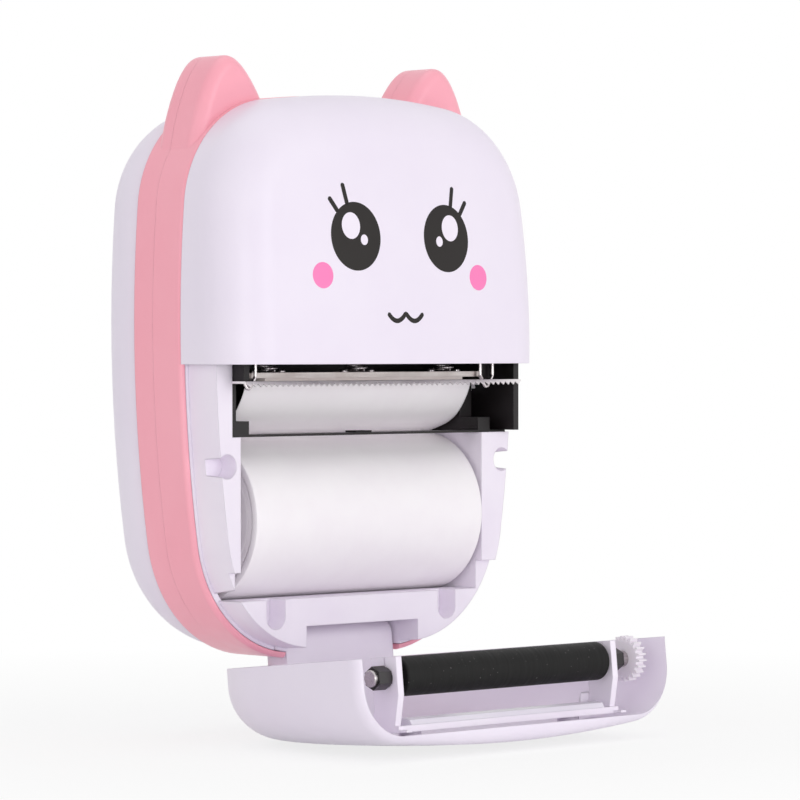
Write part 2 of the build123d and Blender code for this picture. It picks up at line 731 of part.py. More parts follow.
def head_frame():
    # The black frame that carries the head, the springs, the tear bar and the gears.
    inner_left = FRAME_LEFT + FRAME_WALL
    inner_right = FRAME_RIGHT - FRAME_WALL
    gear_wall = GEAR_INNER_X - SWING_GAP
    floor_top = FRAME_BOTTOM + FRAME_FLOOR
    tab_bottom = TEAR_BAR_TOP
    tab_front = TEAR_BAR_BEND + TAB_SETBACK
    bush_low = HINGE_Z + math.sqrt(
        (platen_reach() - BUSH_RADIUS - SWING_GAP) ** 2 - (FRAME_FRONT + HINGE_Y) ** 2
    )
    pocket_back = PLATEN_Y + BUSH_RADIUS + SWING_GAP + POCKET_EASE
    block_low = floor_top - FRAME_FLOOR / 2
    axle_end = FRAME_RIGHT - AXLE_END_INSET
    frame = block(FRAME_LEFT, FRAME_RIGHT, -FRAME_FRONT, FLOOR_BAR_BACK, FRAME_BOTTOM, floor_top)
    frame = frame + block(
        FRAME_LEFT, inner_left, -FRAME_FRONT, FRAME_BACK, FRAME_BOTTOM, FRAME_TOP
    )
    frame = frame + block(FRAME_LEFT, inner_left, tab_front, 0, tab_bottom, FRAME_TOP)
    frame = frame + block(
        inner_right, FRAME_RIGHT, tab_front, GEARBOX_BACK, floor_top, GEARBOX_TOP
    )
    frame = frame + block(
        inner_right, FRAME_RIGHT, -FRAME_FRONT, GEARBOX_BACK, FRAME_BOTTOM, floor_top
    )
    frame = frame + block(
        FRAME_LEFT, FRAME_RIGHT, -FRAME_FRONT, FRAME_BACK, SPRING_SEAT_HEIGHT, FRAME_TOP
    )
    frame = frame + block(
        inner_left, gear_wall, FRAME_BACK - BACK_WALL, FRAME_BACK, GEAR_WALL_LOW, FRAME_TOP
    )
    frame = frame + block(
        gear_wall - FRAME_WALL, gear_wall, pocket_back, GEARBOX_BACK, GEAR_WALL_LOW, GEARBOX_TOP
    )
    for x0, x1 in ((FRAME_LEFT, -BLOCK_INNER_X), (BLOCK_INNER_X, gear_wall)):
        frame = frame + block(x0, x1, -FRAME_FRONT, FRAME_BACK, block_low, bush_low)
        frame = frame + block(x0, x1, pocket_back, FRAME_BACK, block_low, BLOCK_TOP)
    plate_side = HEAT_PLATE_HALF + SWING_GAP
    for x0, x1 in ((FRAME_LEFT, -plate_side), (plate_side, gear_wall)):
        frame = frame + block(x0, x1, -FRAME_FRONT, FRAME_BACK, CHEEK_LOW, FRAME_TOP)
    for y, z in (drive_centre(), idler_centre()):
        frame = frame - rod(AXLE_RADIUS, gear_wall - FRAME_WALL - PAST, axle_end, y, z)
    motor_y, motor_z = motor_centre()
    boss_start = gear_wall - FRAME_WALL - PAST
    frame = frame - rod(PLATEN_SHAFT_RADIUS, boss_start, gear_wall + PAST, motor_y, motor_z)
    gear_room = block(
        gear_wall,
        inner_right,
        -FRAME_FRONT - PAST,
        GEARBOX_BACK + PAST,
        GEAR_WALL_LOW,
        GEAR_ROOM_TOP,
    )
    bar_seat = block(
        TEAR_BAR_LEFT,
        TEAR_BAR_RIGHT + PIN_FIT,
        -FAR,
        TEAR_BAR_BACK + PIN_FIT,
        TEAR_BAR_TOP - TEAR_BAR_THICKNESS,
        TEAR_BAR_TOP,
    )
    allowed = case_room(0) + block(-FAR, FAR, -FAR, FRAME_FREE_FRONT, -FAR, FAR)
    return (frame - gear_room - bar_seat) & allowed


def platen_reach():
    return math.hypot(PLATEN_Y - HINGE_Y, PLATEN_Z - HINGE_Z)


def pitch_radius(teeth):
    return GEAR_MODULE * teeth / 2


def tip_radius(teeth):
    return pitch_radius(teeth) + TOOTH_TIP_HEIGHT * GEAR_MODULE


def step_from(centre, distance, angle):
    turn = math.radians(angle)
    return (centre[0] + distance * math.cos(turn), centre[1] + distance * math.sin(turn))


def drive_centre():
    gap = tip_radius(PLATEN_TEETH) + tip_radius(DRIVE_TEETH) + GEAR_TIP_GAP
    return step_from((PLATEN_Y, PLATEN_Z), gap, DRIVE_ANGLE)


def idler_centre():
    reach = pitch_radius(DRIVE_TEETH) + pitch_radius(IDLER_TEETH)
    return step_from(drive_centre(), reach, IDLER_ANGLE)


def motor_centre():
    reach = pitch_radius(IDLER_TEETH) + pitch_radius(PINION_TEETH)
    return step_from(idler_centre(), reach, MOTOR_ANGLE)


def gear(teeth, bore, centre, phase, x0=GEAR_INNER_X, width=GEAR_WIDTH):
    # Straight spur teeth with slanted flanks; tooth 0 points along phase, in degrees.
    pitch = 360.0 / teeth
    tip = tip_radius(teeth)
    root = pitch_radius(teeth) - TOOTH_ROOT_DEPTH * GEAR_MODULE
    flanks = (
        (-TOOTH_ROOT_SHARE, root),
        (-TOOTH_TIP_SHARE, tip),
        (TOOTH_TIP_SHARE, tip),
        (TOOTH_ROOT_SHARE, root),
    )
    points = []
    for tooth in range(teeth):
        middle = phase + tooth * pitch
        for share, radius in flanks:
            points.append(step_from(centre, radius, middle + share * pitch))
    body = side_profile(points, x0, x0 + width)
    return body - rod(bore, x0 - PAST, x0 + width + PAST, *centre)


def drive_phase():
    return IDLER_ANGLE


def idler_phase():
    # A gap of the idler faces the drive gear's tooth.
    return IDLER_ANGLE + 180.0 + 180.0 / IDLER_TEETH


def pinion_phase():
    # A tooth of the idler nearest to the motor direction meets a gap of the pinion.
    idler_pitch = 360.0 / IDLER_TEETH
    offset = (MOTOR_ANGLE - idler_phase()) / idler_pitch
    slip = (offset - round(offset)) * idler_pitch
    pinion_pitch = 360.0 / PINION_TEETH
    return MOTOR_ANGLE + 180.0 + pinion_pitch / 2 + slip * IDLER_TEETH / PINION_TEETH


def drive_gear():
    return gear(DRIVE_TEETH, AXLE_RADIUS + PIN_FIT, drive_centre(), drive_phase())


def idler_gear():
    return gear(IDLER_TEETH, AXLE_RADIUS + PIN_FIT, idler_centre(), idler_phase())


def motor_pinion():
    return gear(PINION_TEETH, AXLE_RADIUS, motor_centre(), pinion_phase())


def gear_axle(centre):
    gear_wall = GEAR_INNER_X - SWING_GAP
    return rod(AXLE_RADIUS, gear_wall - FRAME_WALL, FRAME_RIGHT - AXLE_END_INSET, *centre)


def stepper_motor():
    y, z = motor_centre()
    face = GEAR_INNER_X - SWING_GAP - FRAME_WALL
    can = rod(MOTOR_RADIUS, face - MOTOR_LENGTH, face, y, z)
    can = fillet(can.edges().filter_by(GeomType.CIRCLE), MOTOR_ROUNDING)
    boss = rod(PLATEN_SHAFT_RADIUS - PIN_FIT, face - MOTOR_BOSS_ROOT, face + FRAME_WALL, y, z)
    flange = block(
        face - FLANGE_THICKNESS,
        face,
        y - FLANGE_LONG_END,
        y + FLANGE_SHORT_END,
        z - FLANGE_HALF_HEIGHT,
        z + FLANGE_HALF_HEIGHT,
    )
    shaft = rod(AXLE_RADIUS - PIN_FIT, face, face + FRAME_WALL + SWING_GAP, y, z)
    return can + boss + flange + shaft


def heat_plate():
    top = HEAT_PLATE_BOTTOM + HEAT_PLATE_THICKNESS
    plate = block(
        -HEAT_PLATE_HALF, HEAT_PLATE_HALF, -HEAT_PLATE_FRONT, HEAT_PLATE_BACK, HEAT_PLATE_BOTTOM, top
    )
    plate = fillet(plate.edges().filter_by(Axis.Z), HEAT_PLATE_CORNER)
    for x, y in rivet_places():
        plate = plate - Pos(x, y, top) * Cylinder(RIVET_SHANK_RADIUS, 4 * HEAT_PLATE_THICKNESS)
    return plate


def rivet_places():
    return [
        (i * SPRING_SPACING + side * RIVET_OFFSET, SPRING_Y) for i in (-1, 0, 1) for side in (-1, 1)
    ]


def head_rivets():
    top = HEAT_PLATE_BOTTOM + HEAT_PLATE_THICKNESS
    rivets = []
    for x, y in rivet_places():
        head = Pos(x, y, top + RIVET_HEIGHT / 2) * Cylinder(RIVET_RADIUS, RIVET_HEIGHT)
        head = fillet(head.edges().sort_by(Axis.Z)[-1], RIVET_CROWN)
        middle = Pos(x, y, HEAT_PLATE_BOTTOM + HEAT_PLATE_THICKNESS / 2)
        shank = middle * Cylinder(RIVET_SHANK_RADIUS - PIN_FIT / 2, HEAT_PLATE_THICKNESS)
        rivets.append(head + shank)
    return rivets


def head_substrate():
    front = SUBSTRATE_FRONT_INSET - HEAT_PLATE_FRONT
    back = HEAT_PLATE_BACK - SUBSTRATE_BACK_INSET
    low = HEAT_PLATE_BOTTOM - SUBSTRATE_THICKNESS
    plate = block(-SUBSTRATE_HALF, SUBSTRATE_HALF, front, back, low, HEAT_PLATE_BOTTOM)
    half = SUBSTRATE_HALF - GLAZE_END_INSET
    near = PLATEN_Y - GLAZE_HALF_WIDTH
    glaze = block(-half, half, near, PLATEN_Y + GLAZE_HALF_WIDTH, low - GLAZE_HEIGHT, low)
    return plate + glaze


def spring_path(x, y, low, high):
    # Biarcs of a quarter turn follow the helix and share its tangents.
    radius = SPRING_RADIUS
    steps = int(SPRING_TURNS * 4)
    rise = (high - low) / (SPRING_TURNS * 2 * math.pi)

    def at(i):
        turn = i * math.pi / 2
        place = Vector(x + radius * math.cos(turn), y + radius * math.sin(turn), low + rise * turn)
        along = Vector(-radius * math.sin(turn), radius * math.cos(turn), rise).normalized()
        return place, along

    arcs = []
    for i in range(steps):
        p0, t0 = at(i)
        p1, t1 = at(i + 1)
        chord = p1 - p0
        both = t0 + t1
        a = 2 - 2 * t0.dot(t1)
        b = 2 * chord.dot(both)
        reach = (-b + math.sqrt(b * b + 4 * a * chord.dot(chord))) / (2 * a)
        middle = (p0 + t0 * reach + p1 - t1 * reach) * 0.5
        first = TangentArc(p0, middle, tangent=t0)
        arcs.append(first)
        arcs.append(TangentArc(middle, p1, tangent=first % 1))
    return Wire(arcs)


def head_springs():
    low = HEAT_PLATE_BOTTOM + HEAT_PLATE_THICKNESS + SPRING_WIRE / 2 + SPRING_END_GAP
    high = SPRING_SEAT_HEIGHT - SPRING_WIRE / 2 - SPRING_END_GAP
    springs = []
    for i in (-1, 0, 1):
        path = spring_path(i * SPRING_SPACING, SPRING_Y, low, high)
        section = Plane(origin=path @ 0, z_dir=path % 0) * Circle(SPRING_WIRE / 2)
        springs.append(sweep(section, path=path))
    pitch = (high - low) / SPRING_TURNS
    print("head springs: least gap between turns", round(pitch - SPRING_WIRE, 3), "mm")
    return springs


def tear_bar():
    top = TEAR_BAR_TOP
    low = top - TEAR_BAR_THICKNESS
    flat = block(TEAR_BAR_LEFT, TEAR_BAR_RIGHT, TEAR_BAR_BEND, TEAR_BAR_BACK, low, top)
    lip = side_profile(
        [
            (TEAR_BAR_BEND, top),
            (TEAR_BAR_BEND, low),
            (TEAR_BAR_TIP_Y + TEAR_BAR_LIP, TEAR_BAR_TIP),
            (TEAR_BAR_TIP_Y, TEAR_BAR_TIP),
        ],
        TEAR_BAR_LEFT,
        TEAR_BAR_RIGHT,
    )
    bar = flat + lip
    count = int((TEAR_BAR_RIGHT - TEAR_BAR_LEFT) / TOOTH_PITCH)
    start = (TEAR_BAR_LEFT + TEAR_BAR_RIGHT - count * TOOTH_PITCH) / 2
    valley = TEAR_BAR_TIP + TOOTH_HEIGHT
    points = [
        (TEAR_BAR_LEFT - PAST, TEAR_BAR_TIP - PAST),
        (TEAR_BAR_LEFT - PAST, valley),
    ]
    for i in range(count):
        points.append((start + i * TOOTH_PITCH, valley))
        points.append((start + (i + 0.5) * TOOTH_PITCH, TEAR_BAR_TIP))
    points.append((start + count * TOOTH_PITCH, valley))
    points.append((TEAR_BAR_RIGHT + PAST, valley))
    points.append((TEAR_BAR_RIGHT + PAST, TEAR_BAR_TIP - PAST))
    teeth = make_face(Polyline(*points, close=True))
    return bar - prism(teeth, TEAR_BAR_TIP_Y - 1, TEAR_BAR_BEND + 0.1)


def latch_wire(side):
    x = side * LATCH_X
    top = FRAME_TOP - LATCH_ROOT_DROP
    points = [
        (x - LATCH_HALF_WIDTH, LATCH_Y + LATCH_TAIL, top),
        (x - LATCH_HALF_WIDTH, LATCH_Y, top),
        (x - LATCH_HALF_WIDTH, LATCH_Y, LATCH_SHOULDER),
        (x, LATCH_Y, LATCH_LOW),
        (x + LATCH_HALF_WIDTH, LATCH_Y, LATCH_SHOULDER),
        (x + LATCH_HALF_WIDTH, LATCH_Y, top),
        (x + LATCH_HALF_WIDTH, LATCH_Y + LATCH_TAIL, top),
    ]
    path = FilletPolyline(*points, radius=LATCH_BEND)
    section = Plane(origin=path @ 0, z_dir=path % 0) * Circle(LATCH_WIRE_RADIUS)
    return sweep(section, path=path)


def latch_holes():
    holes = []
    for side in (-1, 1):
        for offset in (-LATCH_HALF_WIDTH, LATCH_HALF_WIDTH):
            x = side * LATCH_X + offset
            end = LATCH_Y + LATCH_TAIL
            height = FRAME_TOP - LATCH_ROOT_DROP
            hole = LATCH_WIRE_RADIUS + LATCH_FIT
            holes.append(bar_along_y(hole, x, height, end - LATCH_HOLE_DEPTH, end + POCKET_EASE))
    return holes


def paper_roll():
    half = ROLL_WIDTH / 2
    roll = rod(ROLL_RADIUS, -half, half, ROLL_Y, ROLL_Z)
    roll = chamfer(roll.edges().filter_by(GeomType.CIRCLE), ROLL_EDGE)
    return roll - rod(CORE_RADIUS, -half - PAST, half + PAST, ROLL_Y, ROLL_Z)


def paper_core():
    half = ROLL_WIDTH / 2 - CORE_INSET
    tube = rod(CORE_RADIUS, -half, half, ROLL_Y, ROLL_Z)
    return tube - rod(CORE_RADIUS - CORE_WALL, -half - PAST, half + PAST, ROLL_Y, ROLL_Z)


def paper_web():
    # The free end of the paper, from the top of the roll up to the tear bar.
    half = ROLL_WIDTH / 2
    lift = SWING_GAP + PAPER_THICKNESS
    rise = math.sqrt((ROLL_RADIUS + lift) ** 2 - WEB_START**2)
    points = [(ROLL_Y + WEB_START, ROLL_Z + rise), *WEB_PATH]
    far_side = []
    for i, (y, z) in enumerate(points):
        before = points[max(i - 1, 0)]
        after = points[min(i + 1, len(points) - 1)]
        span = math.hypot(after[0] - before[0], after[1] - before[1])
        normal = ((after[1] - before[1]) / span, (before[0] - after[0]) / span)
        far_side.append((y + normal[0] * PAPER_THICKNESS, z + normal[1] * PAPER_THICKNESS))
    curves = [
        Spline(*points),
        Line(points[-1], far_side[-1]),
        Spline(*far_side[::-1]),
        Line(far_side[0], points[0]),
    ]
    face = Plane.YZ.offset(-half) * make_face(curves)
    return extrude(face, amount=ROLL_WIDTH, dir=(1, 0, 0))


def main_board():
    board = block(
        BOARD_LEFT, BOARD_RIGHT, BOARD_FRONT, BOARD_FRONT + BOARD_THICKNESS, BOARD_BOTTOM, BOARD_TOP
    )
    for x, z in board_screw_places():
        back = BOARD_FRONT + BOARD_THICKNESS + PAST
        board = board - bar_along_y(SCREW_RADIUS, x, z, BOARD_FRONT - PAST, back)
    front = BOARD_FRONT
    for x, z, w, h, d in BOARD_CHIPS:
        board = board + block(x - w / 2, x + w / 2, front - d, front, z - h / 2, z + h / 2)
    flange_top = BUTTON_HEIGHT + BUTTON_LENGTH / 2 + BUTTON_FLANGE
    flange_left = half_width_at(flange_top, BAND_WALL) - BUTTON_FLANGE
    switch_right = flange_left - BUTTON_TRAVEL - SWITCH_GAP
    switch = block(
        switch_right - SWITCH_LENGTH,
        switch_right,
        front - SWITCH_DEPTH,
        front,
        BUTTON_HEIGHT - SWITCH_HALF_HEIGHT,
        BUTTON_HEIGHT + SWITCH_HALF_HEIGHT,
    )
    return board + switch


def battery():
    back = BOARD_FRONT + BOARD_THICKNESS + TAPE_GAP
    half = BATTERY_WIDTH / 2
    low = BATTERY_MID_HEIGHT - BATTERY_HEIGHT / 2
    pack = block(-half, half, back, back + BATTERY_THICKNESS, low, low + BATTERY_HEIGHT)
    return fillet(pack.edges(), BATTERY_ROUNDING)


def charge_port():
    # A metal socket on the board, with a tongue in its mouth.
    mouth = half_width_at(PORT_HEIGHT) - PORT_BACKSET
    y0 = BOARD_FRONT - PORT_DEPTH
    z0 = PORT_HEIGHT - PORT_WIDTH / 2
    z1 = PORT_HEIGHT + PORT_WIDTH / 2
    can = block(mouth - PORT_LENGTH, mouth, y0, BOARD_FRONT, z0, z1)
    can = fillet(can.edges().filter_by(Axis.X), PORT_CORNER)
    hollow = block(
        mouth - PORT_LENGTH + PORT_BACK_WALL,
        mouth + PAST,
        y0 + PORT_SHEET,
        BOARD_FRONT - PORT_SHEET,
        z0 + PORT_SHEET,
        z1 - PORT_SHEET,
    )
    hollow = fillet(hollow.edges().filter_by(Axis.X), PORT_MOUTH_CORNER)
    middle = (y0 + BOARD_FRONT) / 2
    tongue = block(
        mouth - TONGUE_ROOT,
        mouth - TONGUE_SETBACK,
        middle - TONGUE_HALF_THICKNESS,
        middle + TONGUE_HALF_THICKNESS,
        z0 + TONGUE_END_GAP,
        z1 - TONGUE_END_GAP,
    )
    return can - hollow + tongue


def status_light():
    face = half_width_at(LIGHT_HEIGHT) - LIGHT_BACKSET
    pipe = rod(LIGHT_RADIUS, face - LIGHT_LENGTH, face, SIDE_FEATURE_Y, LIGHT_HEIGHT)
    foot = block(
        BOARD_RIGHT - LIGHT_FOOT_LAP,
        face - LIGHT_FOOT_END,
        SIDE_FEATURE_Y - LIGHT_FOOT_FRONT,
        BOARD_FRONT,
        LIGHT_HEIGHT - LIGHT_FOOT_HALF_HEIGHT,
        LIGHT_HEIGHT + LIGHT_FOOT_HALF_HEIGHT,
    )
    return pipe + foot


def power_button():
    # A rounded cap with a flange inside the band and a stem to its switch.
    face = half_width_at(BUTTON_HEIGHT) + BUTTON_PROUD
    flange_top = BUTTON_HEIGHT + BUTTON_LENGTH / 2 + BUTTON_FLANGE
    wall = half_width_at(flange_top, BAND_WALL)
    y = SIDE_FEATURE_Y
    half_y = BUTTON_WIDTH / 2
    half_z = BUTTON_LENGTH / 2
    low = BUTTON_HEIGHT - half_z
    root = wall - BUTTON_FLANGE
    cap = block(root, face, y - half_y, y + half_y, low, BUTTON_HEIGHT + half_z)
    cap = fillet(cap.edges().filter_by(Axis.X), half_y - EDGE_BREAK)
    cap = fillet(cap.faces().sort_by(Axis.X)[-1].edges(), BUTTON_FACE_ROUNDING)
    flange = block(
        root,
        wall - BUTTON_FLANGE_GAP,
        y - half_y - BUTTON_FLANGE_FRONT,
        BOARD_FRONT - BUTTON_BOARD_GAP,
        2 * BUTTON_HEIGHT - flange_top,
        flange_top,
    )
    return cap + flange


def cover_blank(inset, top, lip):
    # The lower part of the dome, with its upper front edge turned in.
    body = dome(inset) & block(-FAR, FAR, -FAR, -COVER_RIM_GAP, -FAR, top)
    edges = [
        e
        for e in body.edges()
        if abs(e.center().Z - top) < 0.01 and e.center().Y < 4 - DOME_DEPTH
    ]
    return fillet(edges, lip)


def cover_shell():
    top = PANEL_BOTTOM - COVER_GAP
    outer = cover_blank(0, top, LIP_RADIUS)
    inner = cover_blank(SHELL_WALL, top - SHELL_WALL, LIP_RADIUS - SHELL_WALL)
    inner = inner + (dome(SHELL_WALL) & block(-FAR, FAR, -1.0, 1.0, -FAR, top - SHELL_WALL))
    mouth = dome(SHELL_WALL) & block(-FAR, FAR, LIP_REACH - DOME_DEPTH, 1, -FAR, FAR)
    return outer - inner - mouth


def hinge_arm():
    # The knuckle turns on the pin, and the ribbed arm reaches into the cover.
    half = ARM_HALF_WIDTH
    top = HINGE_Z + KNUCKLE_RADIUS
    room = dome(SHELL_WALL + PIN_FIT)
    plate = block(-half, half, -FAR, HINGE_Y, top - ARM_THICKNESS, top)
    ribs = block(-half, ARM_RIB - half, -FAR, HINGE_Y, -FAR, top)
    ribs = ribs + block(half - ARM_RIB, half, -FAR, HINGE_Y, -FAR, top)
    ribs = ribs + block(-ARM_RIB / 2, ARM_RIB / 2, -FAR, HINGE_Y, -FAR, top)
    forward = (plate + ribs) & room & block(-FAR, FAR, -FAR, 0, -FAR, FAR)
    near = (plate + ribs) & block(
        -FAR, FAR, -COVER_RIM_GAP, HINGE_Y, HINGE_Z - KNUCKLE_RADIUS + ARM_FOOT, FAR
    )
    knuckle = rod(KNUCKLE_RADIUS, -half, half, HINGE_Y, HINGE_Z)
    bore = rod(HINGE_PIN_RADIUS + PIN_FIT, -half - PAST, half + PAST, HINGE_Y, HINGE_Z)
    return forward + near + knuckle - bore


def post_profile():
    back = CARRIER_FLOOR_Y - CARRIER_THICKNESS
    head_clear = PLATEN_Z + BUSH_RADIUS + POST_HEAD_WALL
    nose = TEAR_BAR_TIP_Y - POST_NOSE_GAP
    top = PANEL_BOTTOM - COVER_GAP - SHELL_WALL - POST_TOP_GAP
    low = PLATEN_Z - BUSH_RADIUS - POST_LOW_WALL
    return [
        (back, low - CARRIER_FOOT),
        (CARRIER_FLOOR_Y, low - CARRIER_FOOT),
        (CARRIER_FLOOR_Y + POST_FOOT_REACH, low),
        (-COVER_RIM_GAP, low),
        (-COVER_RIM_GAP, head_clear),
        (PLATEN_Y - POST_SHOULDER, head_clear),
        (nose, head_clear - POST_STEP),
        (nose, top),
        (back, top),
    ]


def platen_carrier():
    # A cross bar on the cover's inside, with two posts that hold the roller.
    back = CARRIER_FLOOR_Y - CARRIER_THICKNESS
    half = POST_INNER_X + POST_THICKNESS
    low = PLATEN_Z - BUSH_RADIUS - POST_LOW_WALL - CARRIER_FOOT
    bar = block(-half, half, back, CARRIER_FLOOR_Y, low, CARRIER_TOP)
    for side in (-1, 1):
        x0, x1 = sorted((side * POST_INNER_X, side * half))
        post = side_profile(post_profile(), x0, x1)
        bar = bar + post
        web_x0, web_x1 = sorted((side * (POST_INNER_X - GUSSET_WIDTH), side * POST_INNER_X))
        gusset = side_profile(
            [
                (CARRIER_FLOOR_Y, low),
                (CARRIER_FLOOR_Y, low + GUSSET_HEIGHT),
                (CARRIER_FLOOR_Y + POST_FOOT_REACH, low + GUSSET_RISE),
            ],
            web_x0,
            web_x1,
        )
        bar = bar + gusset
    room = dome(SHELL_WALL + PIN_FIT)
    for x in (-CARRIER_FOOT_X, CARRIER_FOOT_X):
        foot = bar_along_y(CARRIER_FOOT_RADIUS, x, PLATEN_Z - 3, -FAR / 2, back + 0.1)
        bar = bar + (foot & room)
    end = half + PAST
    slit = block(-end, end, PLATEN_Y, PAST, PLATEN_Z - SLIT_HALF, PLATEN_Z + SLIT_HALF)
    hole = rod(BUSH_RADIUS - BUSH_COLLAR + PIN_FIT, -end, end, PLATEN_Y, PLATEN_Z)
    return (bar & block(-FAR, FAR, -FAR, FAR, -FAR, PANEL_BOTTOM)) - slit - hole


def guide_strip():
    # A polished paper guide that lies on the carrier in front of the roller.
    profile = [(CARRIER_FLOOR_Y + rise, GUIDE_TOP - down) for rise, down in GUIDE_SECTION]
    return side_profile(profile, -GUIDE_HALF_LENGTH, GUIDE_HALF_LENGTH)


def platen_bush(side):
    # A six sided bearing outside its post, with a collar through the post.
    x0 = POST_INNER_X + POST_THICKNESS + BUSH_END_GAP
    head = Plane.YZ * Pos(PLATEN_Y, PLATEN_Z) * RegularPolygon(BUSH_RADIUS, 6)
    body = Pos(x0, 0, 0) * extrude(head, amount=BUSH_LENGTH)
    neck_end = x0 + BUSH_NECK_ROOT
    neck = rod(BUSH_RADIUS - BUSH_COLLAR, POST_INNER_X, neck_end, PLATEN_Y, PLATEN_Z)
    bush = body + neck - rod(PLATEN_SHAFT_RADIUS + PIN_FIT, 0, FAR, PLATEN_Y, PLATEN_Z)
    if side < 0:
        return mirror(bush, Plane.YZ)
    return bush


def platen_axle():
    end = GEAR_INNER_X + GEAR_WIDTH
    axle = rod(PLATEN_SHAFT_RADIUS, SHAFT_LEFT_END, end, PLATEN_Y, PLATEN_Z)
    return chamfer(axle.edges().filter_by(GeomType.CIRCLE), AXLE_CHAMFER)


def platen_rubber():
    half = PLATEN_HALF_LENGTH
    body = rod(PLATEN_RADIUS, -half, half, PLATEN_Y, PLATEN_Z)
    body = fillet(body.edges().filter_by(GeomType.CIRCLE), RUBBER_ROUNDING)
    return body - rod(PLATEN_SHAFT_RADIUS, -half - PAST, half + PAST, PLATEN_Y, PLATEN_Z)


def platen_gear():
    return gear(PLATEN_TEETH, PLATEN_SHAFT_RADIUS, (PLATEN_Y, PLATEN_Z), 0.0)


def paper_sensor():
    # A small reflective sensor on the frame's floor, under the paper.
    floor_top = FRAME_BOTTOM + FRAME_FLOOR
    top = floor_top + SENSOR_HEIGHT
    return block(-SENSOR_HALF, SENSOR_HALF, SENSOR_FRONT, SENSOR_BACK, floor_top, top)


def assemble():
    pieces = {
        "rear_shell": rear_shell(),
        "band_rear": band_rear(),
        "band_front": band_front(),
        "inner_rim": inner_rim(),
        "front_panel": front_panel(),
        "chassis": chassis(),
        "hinge_pin": hinge_pin(),
        "head_frame": head_frame(),
        "tear_bar": tear_bar(),
        "latch_wire_left": latch_wire(-1),
        "latch_wire_right": latch_wire(1),
        "heat_plate": heat_plate(),
        "head_substrate": head_substrate(),
        "head_rivets": head_rivets(),
        "head_springs": head_springs(),
        "paper_roll": paper_roll(),
        "paper_core": paper_core(),
        "paper_web": paper_web(),
        "paper_sensor": paper_sensor(),
        "drive_gear": drive_gear(),
        "idler_gear": idler_gear(),
        "motor_pinion": motor_pinion(),
        "drive_axle": gear_axle(drive_centre()),
        "idler_axle": gear_axle(idler_centre()),
        "stepper_motor": stepper_motor(),
        "main_board": main_board(),
        "board_screws": board_screws(),
        "battery": battery(),
        "charge_port": charge_port(),
        "status_light": status_light(),
        "power_button": power_button(),
        "case_screws": case_screws(),
        "cover_shell": opened(cover_shell()),
        "hinge_arm": opened(hinge_arm()),
        "platen_carrier": opened(platen_carrier()),
        "guide_strip": opened(guide_strip()),
        "platen_bush_left": opened(platen_bush(-1)),
        "platen_bush_right": opened(platen_bush(1)),
        "platen_axle": opened(platen_axle()),
        "platen_rubber": opened(platen_rubber()),
        "platen_gear": opened(platen_gear()),
    }
    for hole in latch_holes():
        pieces["head_frame"] = pieces["head_frame"] - hole
    return pieces


def as_list(shape):
    items = shape if isinstance(shape, (list, tuple)) else [shape]
    return [solid for item in items for solid in item.solids()]


def main():
    os.makedirs("parts", exist_ok=True)
    pieces = {name: as_list(shape) for name, shape in assemble().items()}
    boxes = [solid.bounding_box() for solids in pieces.values() for solid in solids]
    low = [min(getattr(b.min, a) for b in boxes) for a in "XYZ"]
    high = [max(getattr(b.max, a) for b in boxes) for a in "XYZ"]
    stand = Pos(0, -(low[1] + high[1]) / 2, -low[2])
    for name, solids in pieces.items():
        placed = [stand * solid for solid in solids]
        export_step(Compound(placed) if len(placed) > 1 else placed[0], f"parts/{name}.step")
    print("stand", [round(v, 3) for v in stand.position])
    print("size", [round(h - l, 2) for l, h in zip(low, high)])


if __name__ == "__main__":
    main()
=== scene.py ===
import math
import random

import bpy
from mathutils import Matrix, Vector
from mathutils.bvhtree import BVHTree


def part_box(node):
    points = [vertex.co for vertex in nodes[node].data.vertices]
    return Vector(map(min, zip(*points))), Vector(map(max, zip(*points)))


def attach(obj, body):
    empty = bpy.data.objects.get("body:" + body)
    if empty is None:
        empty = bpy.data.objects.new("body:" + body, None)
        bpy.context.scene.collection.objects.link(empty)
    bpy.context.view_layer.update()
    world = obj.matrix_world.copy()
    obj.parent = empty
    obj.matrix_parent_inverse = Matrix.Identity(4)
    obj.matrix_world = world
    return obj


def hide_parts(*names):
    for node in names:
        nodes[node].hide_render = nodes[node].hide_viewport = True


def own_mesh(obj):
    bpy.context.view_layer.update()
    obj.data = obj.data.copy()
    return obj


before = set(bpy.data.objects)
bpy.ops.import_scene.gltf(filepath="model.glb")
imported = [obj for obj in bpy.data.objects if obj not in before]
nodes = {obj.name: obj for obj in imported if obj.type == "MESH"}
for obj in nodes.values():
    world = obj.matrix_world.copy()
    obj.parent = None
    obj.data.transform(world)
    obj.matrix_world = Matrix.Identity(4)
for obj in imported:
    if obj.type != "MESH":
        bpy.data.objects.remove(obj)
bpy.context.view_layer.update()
random.seed(57)

# Sizes and places are in millimetres and angles in degrees, where no comment says otherwise.
MM = 0.001

# Camera at the photograph's viewing angle
CAMERA_PLACE = (-509.48, -533.22, 71.31)
CAMERA_AIM = (0.69470, 0.71918, -0.01322)
CAMERA_ROLL = 0.047
CAMERA_LENS, CAMERA_SENSOR = 181.25, 36.0
CAMERA_NEAR, CAMERA_FAR = 50.0, 30000.0


